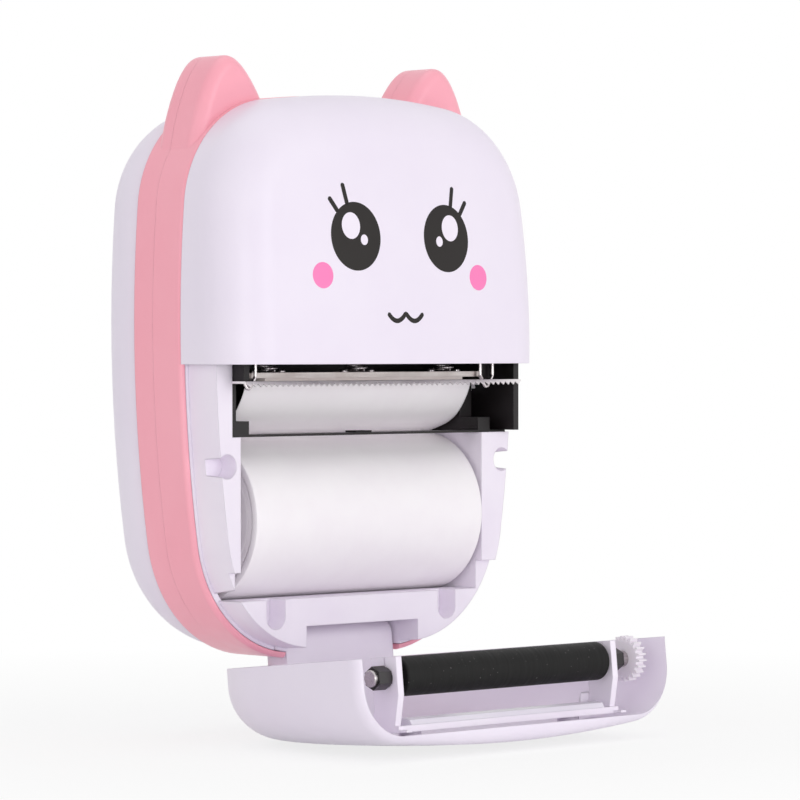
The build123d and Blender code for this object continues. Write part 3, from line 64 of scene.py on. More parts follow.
def set_camera():
    forward = Vector(CAMERA_AIM).normalized()
    right = forward.cross(Vector((0, 0, 1))).normalized()
    up = right.cross(forward)
    roll = Matrix.Rotation(math.radians(CAMERA_ROLL), 3, forward)
    right, up = roll @ right, roll @ up
    data = bpy.data.cameras.new("camera")
    data.lens = CAMERA_LENS
    data.sensor_width = CAMERA_SENSOR
    data.clip_start = CAMERA_NEAR * MM
    data.clip_end = CAMERA_FAR * MM
    camera = bpy.data.objects.new("camera", data)
    x, y, z = [c * MM for c in CAMERA_PLACE]
    camera.matrix_world = Matrix((
        (right.x, up.x, -forward.x, x),
        (right.y, up.y, -forward.y, y),
        (right.z, up.z, -forward.z, z),
        (0, 0, 0, 1),
    ))
    bpy.context.scene.collection.objects.link(camera)
    bpy.context.scene.camera = camera


# Colours, and the one function that adds a node
def linear(code):
    # An sRGB hex colour turned linear.
    parts = [int(code[i:i + 2], 16) / 255 for i in (1, 3, 5)]
    turned = [c / 12.92 if c <= 0.04045 else ((c + 0.055) / 1.055) ** 2.4 for c in parts]
    return (*turned, 1.0)


def plug(tree, node, inputs):
    # Each value is a plain setting, or an output that feeds the input.
    for socket, value in inputs.items():
        if isinstance(value, bpy.types.NodeSocket):
            tree.links.new(value, node.inputs[socket])
        else:
            node.inputs[socket].default_value = value


def add(tree, kind, inputs=None, **settings):
    made = tree.nodes.new(kind)
    for name, value in settings.items():
        setattr(made, name, value)
    plug(tree, made, inputs or {})
    return made


def start(name):
    # A new material with its shader, and a position measured in millimetres.
    material = bpy.data.materials.new(name)
    material.use_nodes = True
    tree = material.node_tree
    here = add(tree, "ShaderNodeTexCoord").outputs["Object"]
    place = add(tree, "ShaderNodeVectorMath", {0: here, "Scale": 1 / MM}, operation="SCALE")
    return material, tree, tree.nodes["Principled BSDF"], place.outputs[0]


# Finishes

# Noise stays near 0.5, so only its middle part is spread over a range.
MIDDLE = {"From Min": 0.3, "From Max": 0.7}
# The sockets of a colour mix that take its two colours and give the mixed one.
COLOUR_ONE, COLOUR_TWO, COLOUR_OUT = 6, 7, 2

CLOUD_DETAIL = 3.0
HAZE_SIZE, HAZE_CHANGE = 2.5, 0.05
LINE_PULL = 0.04
LINE_DEPTH = 0.006
METAL_CLOUD = 5.0
FIBRE_SIZE, FIBRE_PULL, FIBRE_DEPTH = 0.35, 0.35, 0.006
PAPER_CLOUD, PAPER_TINT = 6.0, 0.6
RING_SIZE, RING_PULL, RING_DEPTH, RUBBER_EDGE = 0.3, 0.05, 0.005, 0.2
SPECK_SIZE, SPECK_LIMITS, SPECK_SHARE = 0.35, (0.815, 0.835), 0.4
MATTE = (0.5, 0.62)


def clouded(tree, place, colour, deep, size, most=1.0):
    # Two close colours in soft clouds about size millimetres across.
    clouds = add(tree, "ShaderNodeTexNoise", {
        "Vector": place, "Scale": 1 / size, "Detail": CLOUD_DETAIL,
    })
    share = add(tree, "ShaderNodeMapRange", {
        "Value": clouds.outputs["Fac"], **MIDDLE, "To Min": 0.0, "To Max": most,
    })
    mixed = add(tree, "ShaderNodeMix", {
        "Factor": share.outputs["Result"], COLOUR_ONE: linear(colour), COLOUR_TWO: linear(deep),
    }, data_type="RGBA")
    return mixed.outputs[COLOUR_OUT]


def drawn_out(tree, place, stretch, size, detail):
    # Noise drawn out into lines along the axes whose stretch is small.
    pulled = add(tree, "ShaderNodeVectorMath", {0: place, 1: stretch}, operation="MULTIPLY")
    lines = add(tree, "ShaderNodeTexNoise", {
        "Vector": pulled.outputs[0], "Scale": 1 / size, "Detail": detail,
    })
    return lines.outputs["Fac"]


def relief(tree, pattern, depth, edge):
    # Fine relief, on edges that turn smoothly as their small real radius does.
    rounded = add(tree, "ShaderNodeBevel", {"Radius": edge * MM}, samples=4)
    raised = add(tree, "ShaderNodeBump", {
        "Height": pattern, "Strength": 1.0, "Distance": depth * MM,
        "Normal": rounded.outputs["Normal"],
    })
    return raised.outputs["Normal"]


def plastic(name, colour, deep, roughness, grain, depth, edge=0.25, mottle=14.0, shine=0.5):
    # Moulded plastic: a faint flow pattern in its colour, an even gloss that varies a
    # little from place to place, and the fine grain of the tool.
    material, tree, shader, place = start(name)
    haze = add(tree, "ShaderNodeTexNoise", {
        "Vector": place, "Scale": 1 / HAZE_SIZE, "Detail": 2.0,
    })
    gloss = add(tree, "ShaderNodeMapRange", {
        "Value": haze.outputs["Fac"], **MIDDLE,
        "To Min": roughness - HAZE_CHANGE, "To Max": roughness + HAZE_CHANGE,
    })
    spark = add(tree, "ShaderNodeTexNoise", {"Vector": place, "Scale": 1 / grain, "Detail": 1.0})
    plug(tree, shader, {
        "Base Color": clouded(tree, place, colour, deep, mottle),
        "Roughness": gloss.outputs["Result"],
        "Normal": relief(tree, spark.outputs["Fac"], depth, edge),
        "IOR": 1.53,
        "Specular IOR Level": shine,
    })
    return material


def metal(name, colour, dull, roughness, along, spacing=0.22, edge=0.08):
    # Metal with the fine lines that rolling, drawing or grinding leaves along one axis.
    material, tree, shader, place = start(name)
    stretch = [LINE_PULL if axis == along else 1.0 for axis in "XYZ"]
    lines = drawn_out(tree, place, stretch, spacing, 1.0)
    gloss = add(tree, "ShaderNodeMapRange", {
        "Value": lines, **MIDDLE, "To Min": roughness - 0.06, "To Max": roughness + 0.08,
    })
    plug(tree, shader, {
        "Base Color": clouded(tree, place, colour, dull, METAL_CLOUD),
        "Roughness": gloss.outputs["Result"],
        "Normal": relief(tree, lines, LINE_DEPTH, edge),
        "Metallic": 1.0,
    })
    return material


def thermal_paper(name, colour, deep):
    # Paper: nearly matte, with faint fibres and soft clouds in its colour.
    material, tree, shader, place = start(name)
    fibres = drawn_out(tree, place, (FIBRE_PULL, 1.0, 1.0), FIBRE_SIZE, 3.0)
    gloss = add(tree, "ShaderNodeMapRange", {
        "Value": fibres, **MIDDLE, "To Min": MATTE[0], "To Max": MATTE[1],
    })
    raised = add(tree, "ShaderNodeBump", {
        "Height": fibres, "Strength": 1.0, "Distance": FIBRE_DEPTH * MM,
    })
    plug(tree, shader, {
        "Base Color": clouded(tree, place, colour, deep, PAPER_CLOUD, PAPER_TINT),
        "Roughness": gloss.outputs["Result"],
        "Normal": raised.outputs["Normal"],
        "IOR": 1.48,
    })
    return material


def ground_rubber(name, colour, dust):
    # Silicone ground to size between centres: fine rings round the roller, a matte skin,
    # and the few pale specks of paper dust that always cling to it.
    material, tree, shader, place = start(name)
    rings = drawn_out(tree, place, (1.0, RING_PULL, RING_PULL), RING_SIZE, 2.0)
    gloss = add(tree, "ShaderNodeMapRange", {
        "Value": rings, **MIDDLE, "To Min": MATTE[0], "To Max": MATTE[1],
    })
    specks = add(tree, "ShaderNodeTexNoise", {
        "Vector": place, "Scale": 1 / SPECK_SIZE, "Detail": 0.0,
    })
    share = add(tree, "ShaderNodeMapRange", {
        "Value": specks.outputs["Fac"], "From Min": SPECK_LIMITS[0], "From Max": SPECK_LIMITS[1],
        "To Min": 0.0, "To Max": SPECK_SHARE,
    })
    dusty = add(tree, "ShaderNodeMix", {
        "Factor": share.outputs["Result"], COLOUR_ONE: linear(colour), COLOUR_TWO: linear(dust),
    }, data_type="RGBA")
    plug(tree, shader, {
        "Base Color": dusty.outputs[COLOUR_OUT],
        "Roughness": gloss.outputs["Result"],
        "Normal": relief(tree, rings, RING_DEPTH, RUBBER_EDGE),
        "IOR": 1.41,
        "Specular IOR Level": 0.3,
    })
    return material


def nylon(name, colour, deep):
    # Natural nylon is milky: light goes a little way in, so the teeth have soft shadows.
    material = plastic(name, colour, deep, 0.42, 0.3, 0.004, edge=0.06)
    tree = material.node_tree
    plug(tree, tree.nodes["Principled BSDF"], {
        "Subsurface Weight": 0.35,
        "Subsurface Radius": (1.0, 0.9, 0.95),
        "Subsurface Scale": 0.6 * MM,
    })
    return material


# Shells from a fine spark eroded tool: wide, soft highlights.
white_abs = plastic(
    "moulded satin ABS, white", "#F1E9F6", "#EDE4F3", 0.40, 0.45, 0.0035, mottle=22.0
)
# Inner pieces from a coarser tool: duller, with softer edges.
inner_abs = plastic("moulded ABS inside, white", "#F6EFFA", "#F1E8F6", 0.46, 0.6, 0.004, edge=0.3)
# The pink pieces have the shells' grain, and a little more gloss.
pink_abs = plastic("moulded satin ABS, pink", "#FFB0BF", "#FDAABA", 0.34, 0.45, 0.0035, mottle=18.0)
# Glass fibre near the skin gives the head's frame a sandy, nearly dull black.
black_abs = plastic(
    "moulded glass filled ABS, black", "#151113", "#1C1719", 0.46, 0.25, 0.008,
    edge=0.18, shine=0.35,
)
# Acetal is waxy, and glossier than the frame beside it.
bush_plastic = plastic("moulded acetal, black", "#1D191B", "#272224", 0.36, 0.3, 0.004, edge=0.12)
# A polished tool leaves the guide strip with clear reflections.
strip_plastic = plastic("polished ABS, white", "#EDE7F3", "#E7E0EE", 0.14, 0.8, 0.001, edge=0.15)
# The lens is polished too, and has a faint green tint.
lens_plastic = plastic(
    "moulded acrylic, clear white", "#EAF4EC", "#DDEEE2", 0.16, 0.8, 0.001, edge=0.1
)
# Black ink dries flat: an even face, duller than the plastic round it.
black_ink = plastic(
    "pad printed ink, black", "#1C1716", "#201B19", 0.42, 0.2, 0.001, edge=0.01, shine=0.25
)
# Pink ink keeps a faint sheen.
pink_ink = plastic("pad printed ink, pink", "#FF85C1", "#FB7FBC", 0.36, 0.2, 0.001, edge=0.01)
# The spots of an eye are bare, and look like the shell.
bare_spot = plastic("unprinted ABS, white", "#F4ECF8", "#F0E7F5", 0.40, 0.45, 0.001, edge=0.01)
gear_nylon = nylon("moulded nylon, natural", "#EFE9F0", "#E6DEE8")
rubber = ground_rubber("ground silicone rubber, black", "#0E0D0D", "#8F898B")
# The coating makes the roll the whitest piece here.
paper = thermal_paper("coated thermal paper", "#FEFAFD", "#F8F2F7")
# Card has no coating, and looks pale brown.
card = thermal_paper("wound card", "#D9CDBF", "#CBBBA9")
# Rolled sheet: long faint lines draw the highlights out along the tear bar.
bar_steel = metal("stamped stainless steel", "#F0ECED", "#E2DCDE", 0.36, "X")
# Drawn wire is the smoothest metal here, with a thin line of light along it.
wire_steel = metal("drawn spring steel wire", "#E0DADB", "#C9C1C3", 0.26, "Z", 0.12, 0.02)
# Rods gleam softly, with fine lines along them.
turned_steel = metal("turned steel rod", "#C9C3C4", "#B2ABAD", 0.3, "X", 0.15)
# Rolled aluminium has wider lines, and a warmer grey than the steel.
plate_alloy = metal("rolled aluminium plate", "#D6CFCD", "#BDB3B0", 0.33, "X", 0.3)
# Zinc plating clouds the screws, and turns them a little blue.
screw_steel = metal("zinc plated steel", "#BDBBC0", "#A19FA8", 0.32, "Z", 0.15)
# The drawn can is a darker grey, with wide lines along it.
motor_steel = metal("drawn steel can", "#B5B2B4", "#9C999C", 0.34, "X", 0.3)
# Glaze levels itself, so the ceramic has clear reflections.
ceramic = plastic("glazed alumina", "#DDD3D0", "#CFC4C0", 0.18, 1.5, 0.002, edge=0.05)
# The mask is a green lacquer with a soft gloss.
board_mask = plastic("solder masked laminate", "#1E6B41", "#185A37", 0.32, 0.5, 0.01, edge=0.1)
# Pressed foil is uneven, and breaks what it reflects into patches.
pouch_foil = plastic("pressed pouch foil", "#B9B9BE", "#A9A9B0", 0.36, 1.2, 0.03, edge=0.3)

FINISHES = {
    white_abs: ["rear_shell", "front_panel", "cover_shell"],
    inner_abs: ["inner_rim", "chassis", "hinge_arm", "platen_carrier"],
    pink_abs: ["band_rear", "band_front", "power_button"],
    black_abs: ["head_frame", "paper_sensor"],
    bush_plastic: ["platen_bush_left", "platen_bush_right"],
    strip_plastic: ["guide_strip"],
    lens_plastic: ["status_light"],
    gear_nylon: ["platen_gear", "drive_gear", "idler_gear", "motor_pinion"],
    rubber: ["platen_rubber"],
    paper: ["paper_roll", "paper_web"],
    card: ["paper_core"],
    bar_steel: ["tear_bar", "charge_port"],
    wire_steel: ["latch_wire_left", "latch_wire_right", "head_springs"],
    turned_steel: ["hinge_pin", "platen_axle", "drive_axle", "idler_axle", "head_rivets"],
    plate_alloy: ["heat_plate"],
    screw_steel: ["case_screws", "board_screws"],
    motor_steel: ["stepper_motor"],
    ceramic: ["head_substrate"],
    board_mask: ["main_board"],
    pouch_foil: ["battery"],
}
# Edges that fold by more than this stay sharp: of the solids, and of the pieces made here
SOLID_FOLD, MADE_FOLD = 32, 38


def finish_nodes():
    for material, names in FINISHES.items():
        for name in names:
            mesh = nodes[name].data
            mesh.materials.clear()
            mesh.materials.append(material)
            mesh.shade_smooth()
            mesh.set_sharp_from_angle(angle=math.radians(SOLID_FOLD))


# Pieces made here
def piece(name, points, faces, material):
    mesh = bpy.data.meshes.new(name)
    mesh.from_pydata([tuple(p) for p in points], [], faces)
    mesh.validate()
    mesh.materials.append(material)
    mesh.shade_smooth()
    mesh.set_sharp_from_angle(angle=math.radians(MADE_FOLD))
    made = bpy.data.objects.new(name, mesh)
    bpy.context.scene.collection.objects.link(made)
    return made


def settle(made, body, slot, *replaced):
    if replaced:
        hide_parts(*replaced)
    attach(made, body)


# The printed face, seen from the front: X counts from the middle of the panel
INK_PROUD = 0.03
IN_FRONT = -60.0
EYE_X, EYE_Z = 11.4, 91.2
EYE_HALF_WIDTH, EYE_HALF_HEIGHT = 5.9, 6.2
# Outwards and up from the middle of an eye, half width, half height, and sides
EYE_SPOTS = {"large": (1.1, 1.9, 2.15, 2.4, 48), "small": (-1.9, -0.6, 0.85, 0.95, 32)}
# Root and tip of each lash, outwards and up from the middle of an eye
LASHES = (((1.6, 5.6), (2.5, 9.6)), ((3.9, 4.3), (5.9, 7.0)))
LASH_WIDTH, LASH_STEPS = 0.9, 24
CHEEK_X, CHEEK_Z, CHEEK_RADIUS = 19.6, 84.1, 2.35
MOUTH_Z, MOUTH_HALF, MOUTH_DROP = 77.5, 4.4, 1.5
MOUTH_WIDTH, MOUTH_STEPS, MOUTH_FULLNESS = 0.85, 60, 0.8
OVAL_RINGS = 8
LEAST_HALF = 0.02


def panel_surface():
    mesh = nodes["front_panel"].data
    corners = [v.co.copy() for v in mesh.vertices]
    return BVHTree.FromPolygons(corners, [tuple(p.vertices) for p in mesh.polygons])


def on_panel(surface, x, z, proud):
    hit = surface.ray_cast(Vector((x * MM, IN_FRONT * MM, z * MM)), Vector((0, 1, 0)))[0]
    return Vector((hit.x, hit.y - proud * MM, hit.z))


def closed_patch(name, tops, faces, border, material, slot):
    # A skin of ink with a small thickness: its border goes down into the panel.
    count = len(tops)
    sunk = [p + Vector((0, 2.0 * INK_PROUD * MM, 0)) for p in tops]
    under = [tuple(i + count for i in reversed(face)) for face in faces]
    walls = [(b, a, a + count, b + count) for a, b in zip(border, border[1:] + border[:1])]
    made = piece(name, tops + sunk, faces + under + walls, material)
    settle(made, "printer", slot)


def oval(name, surface, x, z, half_width, half_height, material, slot, proud=INK_PROUD, sides=72):
    tops = [on_panel(surface, x, z, proud)]
    for ring in range(1, OVAL_RINGS + 1):
        share = ring / OVAL_RINGS
        for i in range(sides):
            turn = 2 * math.pi * i / sides
            across = half_width * share * math.cos(turn)
            up = half_height * share * math.sin(turn)
            tops.append(on_panel(surface, x + across, z + up, proud))
    faces = [(0, 1 + i, 1 + (i + 1) % sides) for i in range(sides)]
    for ring in range(1, OVAL_RINGS):
        inner, outer = 1 + (ring - 1) * sides, 1 + ring * sides
        for i in range(sides):
            j = (i + 1) % sides
            faces.append((inner + i, outer + i, outer + j, inner + j))
    last = 1 + (OVAL_RINGS - 1) * sides
    closed_patch(name, tops, faces, [last + i for i in range(sides)], material, slot)


def stroke(name, surface, path, width, material, slot):
    # An even line with round ends.
    steps, radius = len(path), width / 2
    lengths = [0.0]
    for a, b in zip(path, path[1:]):
        lengths.append(lengths[-1] + math.dist(a, b))
    tops, faces = [], []
    for i, (x, z) in enumerate(path):
        before, after = path[max(i - 1, 0)], path[min(i + 1, steps - 1)]
        span = math.dist(before, after)
        side = ((before[1] - after[1]) / span, (after[0] - before[0]) / span)
        near_end = min(lengths[i], lengths[-1] - lengths[i], radius)
        half = math.sqrt(max(radius**2 - (radius - near_end) ** 2, LEAST_HALF**2))
        for share in (-1, 0, 1):
            across, up = side[0] * half * share, side[1] * half * share
            tops.append(on_panel(surface, x + across, z + up, INK_PROUD))
    for i in range(steps - 1):
        a, b = 3 * i, 3 * (i + 1)
        faces += [(a, b, b + 1, a + 1), (a + 1, b + 1, b + 2, a + 2)]
    last = 3 * (steps - 1)
    one_side = [3 * i for i in range(steps)]
    other_side = [3 * i + 2 for i in reversed(range(steps))]
    border = one_side + [last + 1] + other_side + [1]
    closed_patch(name, tops, faces, border, material, slot)


def along(a, b, count):
    return [tuple(p + (q - p) * i / (count - 1) for p, q in zip(a, b)) for i in range(count)]


def smoothed(path, rounds):
    for _ in range(rounds):
        inner = [
            tuple((a[k] + 2 * b[k] + c[k]) / 4 for k in range(2))
            for a, b, c in zip(path, path[1:], path[2:])
        ]
        path = [path[0]] + inner + [path[-1]]
    return path


def face_print():
    surface = panel_surface()
    for side, word in ((-1, "left"), (1, "right")):
        x = side * EYE_X
        oval(
            f"eye_{word}", surface, x, EYE_Z, EYE_HALF_WIDTH, EYE_HALF_HEIGHT,
            black_ink, "black_plastic",
        )
        for size, (aside, up, half_width, half_height, sides) in EYE_SPOTS.items():
            oval(
                f"eye_{word}_{size}_spot", surface, x + side * aside, EYE_Z + up,
                half_width, half_height, bare_spot, "white_abs", 2 * INK_PROUD, sides,
            )
        oval(
            f"cheek_{word}", surface, side * CHEEK_X, CHEEK_Z, CHEEK_RADIUS, CHEEK_RADIUS,
            pink_ink, "pink_button",
        )
        for number, ends in enumerate(LASHES, 1):
            root, tip = [(x + side * aside, EYE_Z + up) for aside, up in ends]
            path = along(root, tip, LASH_STEPS)
            stroke(f"lash_{word}_{number}", surface, path, LASH_WIDTH, black_ink, "black_plastic")
    path = []
    for i in range(MOUTH_STEPS + 1):
        share = -1 + 2 * i / MOUTH_STEPS
        dip = abs(math.sin(math.pi * share)) ** MOUTH_FULLNESS
        path.append((share * MOUTH_HALF, MOUTH_Z - MOUTH_DROP * dip))
    stroke("mouth", surface, smoothed(path, 3), MOUTH_WIDTH, black_ink, "black_plastic")


# Wound roll: each wrap fills a share of its room, and its edge leans and then drops
# into the gap behind it
WRAPS, WRAP_SHARE, WRAP_START = 17, 0.86, 0.1
EDGE_LEAN, GAP_SLOPE, GAP_DEPTH = 0.02, 0.03, 0.22
# How far the wraps have slipped in: at least, more at the core, how it falls, and chance
SLIP_LEAST, SLIP_MORE, SLIP_FALL, SLIP_CHANCE = 0.28, 0.9, 1.4, 0.09
# The outermost wraps are tight, to this depth under the outside.
TIGHT_DEPTH = 2.0
# The end face, as (out from the core, in from the end), then (under the outside, in)
CORE_SKIRT = ((0.02, 2.6), (0.02, 1.0))
TIGHT_WRAPS = ((1.75, 0.3), (1.6, 0.12), (1.2, 0.02))
ROLL_EDGE = ((0.45, 0.0), (0.16, 0.07), (0.04, 0.24), (0.0, 0.6))
ROLL_STEPS, ROLL_SIDES = 40, 160
RIPPLE = 0.05


def end_profile(core, radius, left):
    # The wraps near the outside lie flush, and those further in have slipped inwards.
    profile = [(core + out, left + inwards) for out, inwards in CORE_SKIRT]
    room = radius - TIGHT_DEPTH - core
    for i in range(WRAPS):
        inner = core + WRAP_START + room * i / WRAPS
        outer = core + WRAP_START + room * (i + WRAP_SHARE) / WRAPS
        slip = SLIP_LEAST + SLIP_MORE * (1 - i / WRAPS) ** SLIP_FALL
        slip += random.uniform(-SLIP_CHANCE, SLIP_CHANCE)
        profile += [
            (inner, left + slip),
            (outer, left + slip + EDGE_LEAN),
            (outer + GAP_SLOPE, left + slip + GAP_DEPTH),
        ]
    outside = TIGHT_WRAPS + ROLL_EDGE
    return profile + [(radius - under, left + inwards) for under, inwards in outside]


def roll_of_paper():
    low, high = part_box("paper_roll")
    centre = (low + high) / 2 / MM
    radius = (high.z - low.z) / 2 / MM
    left, right = low.x / MM, high.x / MM
    core = (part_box("paper_core")[1].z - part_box("paper_core")[0].z) / 2 / MM
    profile = end_profile(core, radius, left)
    edge = ROLL_EDGE[-1][1]
    width = right - left - 2 * edge
    body = [(radius, left + edge + width * i / ROLL_STEPS) for i in range(1, ROLL_STEPS + 1)]
    far = [(r, right - (x - left)) for r, x in reversed(profile)]
    outline = profile + body + far[1:]
    points = []
    for r, x in outline:
        for i in range(ROLL_SIDES):
            turn = 2 * math.pi * i / ROLL_SIDES
            ripple = 0.0 if r > radius - TIGHT_DEPTH else RIPPLE * math.sin(turn + r)
            y = centre.y + (r + ripple) * math.cos(turn)
            z = centre.z + (r + ripple) * math.sin(turn)
            points.append(Vector((x, y, z)) * MM)
    rows = len(outline)
    faces = []
    for row in range(rows):
        here, after = row * ROLL_SIDES, (row + 1) % rows * ROLL_SIDES
        for i in range(ROLL_SIDES):
            j = (i + 1) % ROLL_SIDES
            faces.append((here + i, here + j, after + j, after + i))
    made = piece("paper_roll_wound", points, faces, paper)
    settle(made, "paper", "paper", "paper_roll")


# Free end of the paper, as (Y, Z) from the top of the roll to the tear bar
FREE_PATH = [
    (17.80, 55.08), (16.33, 55.28), (14.63, 55.69), (12.83, 56.25), (10.63, 57.06),
    (8.73, 58.26), (7.23, 59.76), (6.03, 61.46), (5.13, 63.06), (4.58, 64.60),
]
FREE_HALF_WIDTH = 28.5
FREE_STEPS, FREE_COLUMNS = 8, 172
# A slight swell across the sheet: its height, and the pace and start of its wave in radians
SWELL, SWELL_PACE, SWELL_START = 0.10, 0.21, 0.6
# The torn edge has teeth like those of the tear bar, with a little chance.
TOOTH_PITCH, TOOTH_HEIGHT, TEAR_CHANCE = 1.33, 0.32, 0.05
PAPER_THICKNESS = 0.07


def smooth_path(knots, steps):
    # A smooth curve through the knots.
    path = []
    ends = [knots[0]] + knots + [knots[-1]]
    for a, b, c, d in zip(ends, ends[1:], ends[2:], ends[3:]):
        for i in range(steps):
            t = i / steps
            path.append(tuple(
                0.5 * (
                    2 * q + (r - p) * t
                    + (2 * p - 5 * q + 4 * r - s) * t**2 + (3 * q - p - 3 * r + s) * t**3
                )
                for p, q, r, s in zip(a, b, c, d)
            ))
    return path + [knots[-1]]


def free_paper():
    # The end of the roll, out over the front lip of the bay and up behind the tear bar.
    path = smooth_path(FREE_PATH, FREE_STEPS)
    points, faces = [], []
    last = len(path) - 1
    for k, (y, z) in enumerate(path):
        before, after = path[max(k - 1, 0)], path[min(k + 1, last)]
        span = math.dist(before, after)
        out = ((before[1] - after[1]) / span, (after[0] - before[0]) / span)
        for c in range(FREE_COLUMNS + 1):
            x = -FREE_HALF_WIDTH + 2 * FREE_HALF_WIDTH * c / FREE_COLUMNS
            wave = math.sin(x * SWELL_PACE + SWELL_START)
            swell = SWELL * wave * math.sin(math.pi * k / last)
            torn = 0.0
            if k == last:
                tooth = abs((x / TOOTH_PITCH) % 1.0 - 0.5) * 2
                torn = TOOTH_HEIGHT * tooth + random.uniform(-TEAR_CHANCE, TEAR_CHANCE)
            points.append(Vector((x, y + out[0] * swell, z + out[1] * swell - torn)) * MM)
    for k in range(last):
        for c in range(FREE_COLUMNS):
            a, b = k * (FREE_COLUMNS + 1) + c, (k + 1) * (FREE_COLUMNS + 1) + c
            faces.append((a, a + 1, b + 1, b))
    made = piece("paper_free_end", points, faces, paper)
    thick = made.modifiers.new("thickness", "SOLIDIFY")
    thick.thickness = PAPER_THICKNESS * MM
    thick.offset = 0.0
    settle(made, "printer", "paper", "paper_web")
    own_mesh(made)


# Springs over the print head
WIRE_RADIUS, WIRE_SIDES = 0.225, 10
SPRING_TURNS, STEPS_A_TURN = 5.2, 36
# The turns at each end lie almost flat, and rise by this many wire radii.
FLAT_TURNS, FLAT_RISE = 0.8, 2.2


def tube(path, radius, sides):
    points, faces = [], []
    side = None
    for i, here in enumerate(path):
        before, after = path[max(i - 1, 0)], path[min(i + 1, len(path) - 1)]
        ahead = (after - before).normalized()
        side = ahead.orthogonal() if side is None else side - ahead * side.dot(ahead)
        side.normalize()
        other = ahead.cross(side)
        for k in range(sides):
            turn = 2 * math.pi * k / sides
            points.append(here + (side * math.cos(turn) + other * math.sin(turn)) * radius)
    for i in range(len(path) - 1):
        here, after = i * sides, (i + 1) * sides
        for k in range(sides):
            j = (k + 1) % sides
            faces.append((here + k, here + j, after + j, after + k))
    faces.append(tuple(reversed(range(sides))))
    faces.append(tuple((len(path) - 1) * sides + k for k in range(sides)))
    return points, faces


def coil(x, y, ring, floor, ceiling, lean):
    path = []
    steps = int(SPRING_TURNS * STEPS_A_TURN)
    climb, climbing_turns = ceiling - floor - 2 * lean, SPRING_TURNS - 2 * FLAT_TURNS
    for i in range(steps + 1):
        turn = SPRING_TURNS * i / steps
        if turn < FLAT_TURNS:
            z = floor + lean * turn / FLAT_TURNS
        elif turn > SPRING_TURNS - FLAT_TURNS:
            z = ceiling - lean * (SPRING_TURNS - turn) / FLAT_TURNS
        else:
            z = floor + lean + climb * (turn - FLAT_TURNS) / climbing_turns
        angle = 2 * math.pi * turn
        path.append(Vector((x + ring * math.cos(angle), y + ring * math.sin(angle), z)))
    return path


def coil_springs():
    low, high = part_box("head_springs")
    wire = WIRE_RADIUS * MM
    ring = (high.y - low.y) / 2 - wire
    middle = (low + high) / 2
    reach = (high.x - low.x) / 2 - ring - wire
    points, faces = [], []
    for number in (-1, 0, 1):
        x = middle.x + number * reach
        path = coil(x, middle.y, ring, low.z + wire, high.z - wire, FLAT_RISE * wire)
        more, sides = tube(path, wire, WIRE_SIDES)
        faces += [tuple(v + len(points) for v in face) for face in sides]
        points += more
    made = piece("head_springs_wound", points, faces, wire_steel)
    settle(made, "printer", "steel", "head_springs")
    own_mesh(made)


# Floor and world. Away from the printer's shadow, the floor glows where it is seen.
FLOOR_HALF, FLOOR_DROP = 6000.0, 0.05
SHADOW_NEAR, SHADOW_FAR, SHADOW_GLOW = 70.0, 220.0, 0.78
CLOTH_WHITE = (0.95, 0.95, 0.95, 1)
WHITE = (1, 1, 1, 1)
SOFT_LIGHT = 0.62


def seen_rays(tree):
    # One for what is seen directly, in a reflection or through something clear.
    rays = add(tree, "ShaderNodeLightPath")
    seen = rays.outputs["Is Camera Ray"]
    for kind in ("Is Glossy Ray", "Is Transmission Ray"):
        either = {0: seen, 1: rays.outputs[kind]}
        seen = add(tree, "ShaderNodeMath", either, operation="MAXIMUM").outputs[0]
    return seen


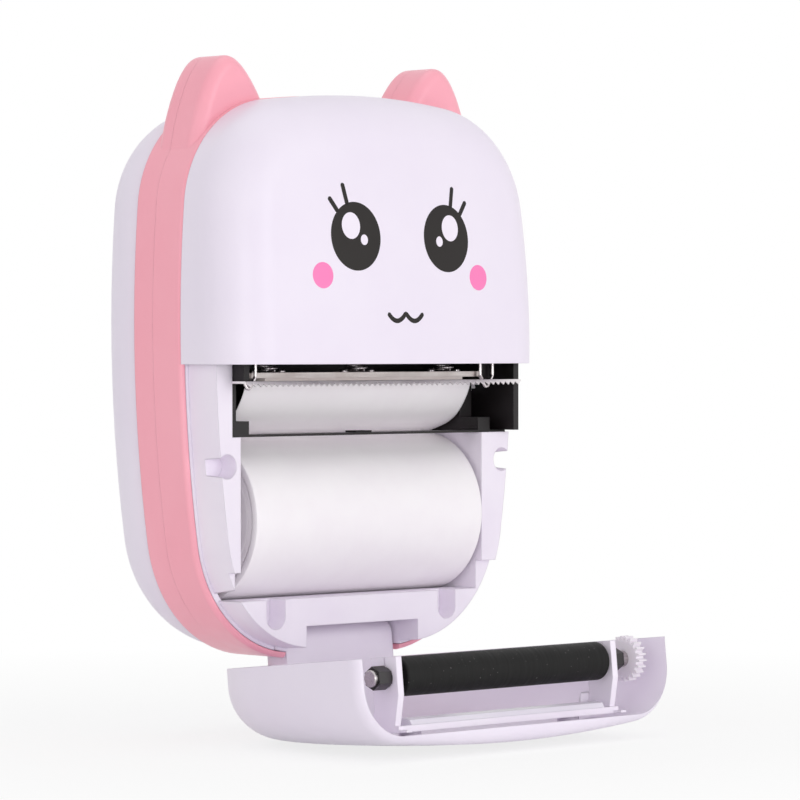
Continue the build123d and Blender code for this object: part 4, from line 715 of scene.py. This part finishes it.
def floor_and_world():
    material = bpy.data.materials.new("matte white backdrop")
    material.use_nodes = True
    tree = material.node_tree
    tree.nodes.clear()
    seen = seen_rays(tree)
    here = add(tree, "ShaderNodeTexCoord").outputs["Object"]
    away = add(tree, "ShaderNodeVectorMath", {0: here}, operation="LENGTH").outputs["Value"]
    lift = add(tree, "ShaderNodeMapRange", {
        "Value": away, "From Min": SHADOW_NEAR * MM, "From Max": SHADOW_FAR * MM,
        "To Min": SHADOW_GLOW, "To Max": 1.0,
    }).outputs["Result"]
    share = add(tree, "ShaderNodeMath", {0: seen, 1: lift}, operation="MULTIPLY").outputs[0]
    cloth = add(tree, "ShaderNodeBsdfDiffuse", {"Color": CLOTH_WHITE}).outputs[0]
    glow = add(tree, "ShaderNodeEmission", {"Color": WHITE, "Strength": 1.0}).outputs[0]
    both = add(tree, "ShaderNodeMixShader", {0: share, 1: cloth, 2: glow}).outputs[0]
    add(tree, "ShaderNodeOutputMaterial", {"Surface": both})
    size = FLOOR_HALF * MM
    corners = [(-size, -size, 0), (size, -size, 0), (size, size, 0), (-size, size, 0)]
    mesh = bpy.data.meshes.new("floor")
    mesh.from_pydata(corners, [], [(0, 1, 2, 3)])
    mesh.materials.append(material)
    floor = bpy.data.objects.new("floor", mesh)
    floor.location.z = -FLOOR_DROP * MM
    bpy.context.scene.collection.objects.link(floor)
    world = bpy.data.worlds.new("studio")
    bpy.context.scene.world = world
    world.use_nodes = True
    tree = world.node_tree
    tree.nodes.clear()
    seen = seen_rays(tree)
    soft = add(tree, "ShaderNodeBackground", {"Color": WHITE, "Strength": SOFT_LIGHT}).outputs[0]
    white = add(tree, "ShaderNodeBackground", {"Color": WHITE, "Strength": 1.0}).outputs[0]
    both = add(tree, "ShaderNodeMixShader", {0: seen, 1: soft, 2: white}).outputs[0]
    add(tree, "ShaderNodeOutputWorld", {"Surface": both})


# Lamps: place and size in metres, and power in watts. All look at the printer's middle.
LAMPS = {
    "key": ((0.25, -0.98, 0.24), 0.6, 1.75),
    "side": ((-0.95, -0.1, 0.35), 0.7, 0.45),
    "top": ((0.0, 0.1, 1.0), 0.7, 1.15),
    "fill": ((-0.58, -0.76, 0.05), 0.4, 2.0),
    "low": ((0.02, -0.19, 0.025), 0.04, 0.024),
}
LAMP_TARGET = (0, 0, 0.06)


def lamps():
    for name, (place, size, power) in LAMPS.items():
        data = bpy.data.lights.new(name, "AREA")
        data.shape = "DISK"
        data.size = size
        data.energy = power
        made = bpy.data.objects.new(name, data)
        made.location = place
        aim = Vector(LAMP_TARGET) - Vector(place)
        made.rotation_euler = aim.to_track_quat("-Z", "Y").to_euler()
        bpy.context.scene.collection.objects.link(made)


set_camera()
finish_nodes()
face_print()
roll_of_paper()
free_paper()
coil_springs()
floor_and_world()
lamps()
bpy.context.scene.view_settings.view_transform = "Standard"
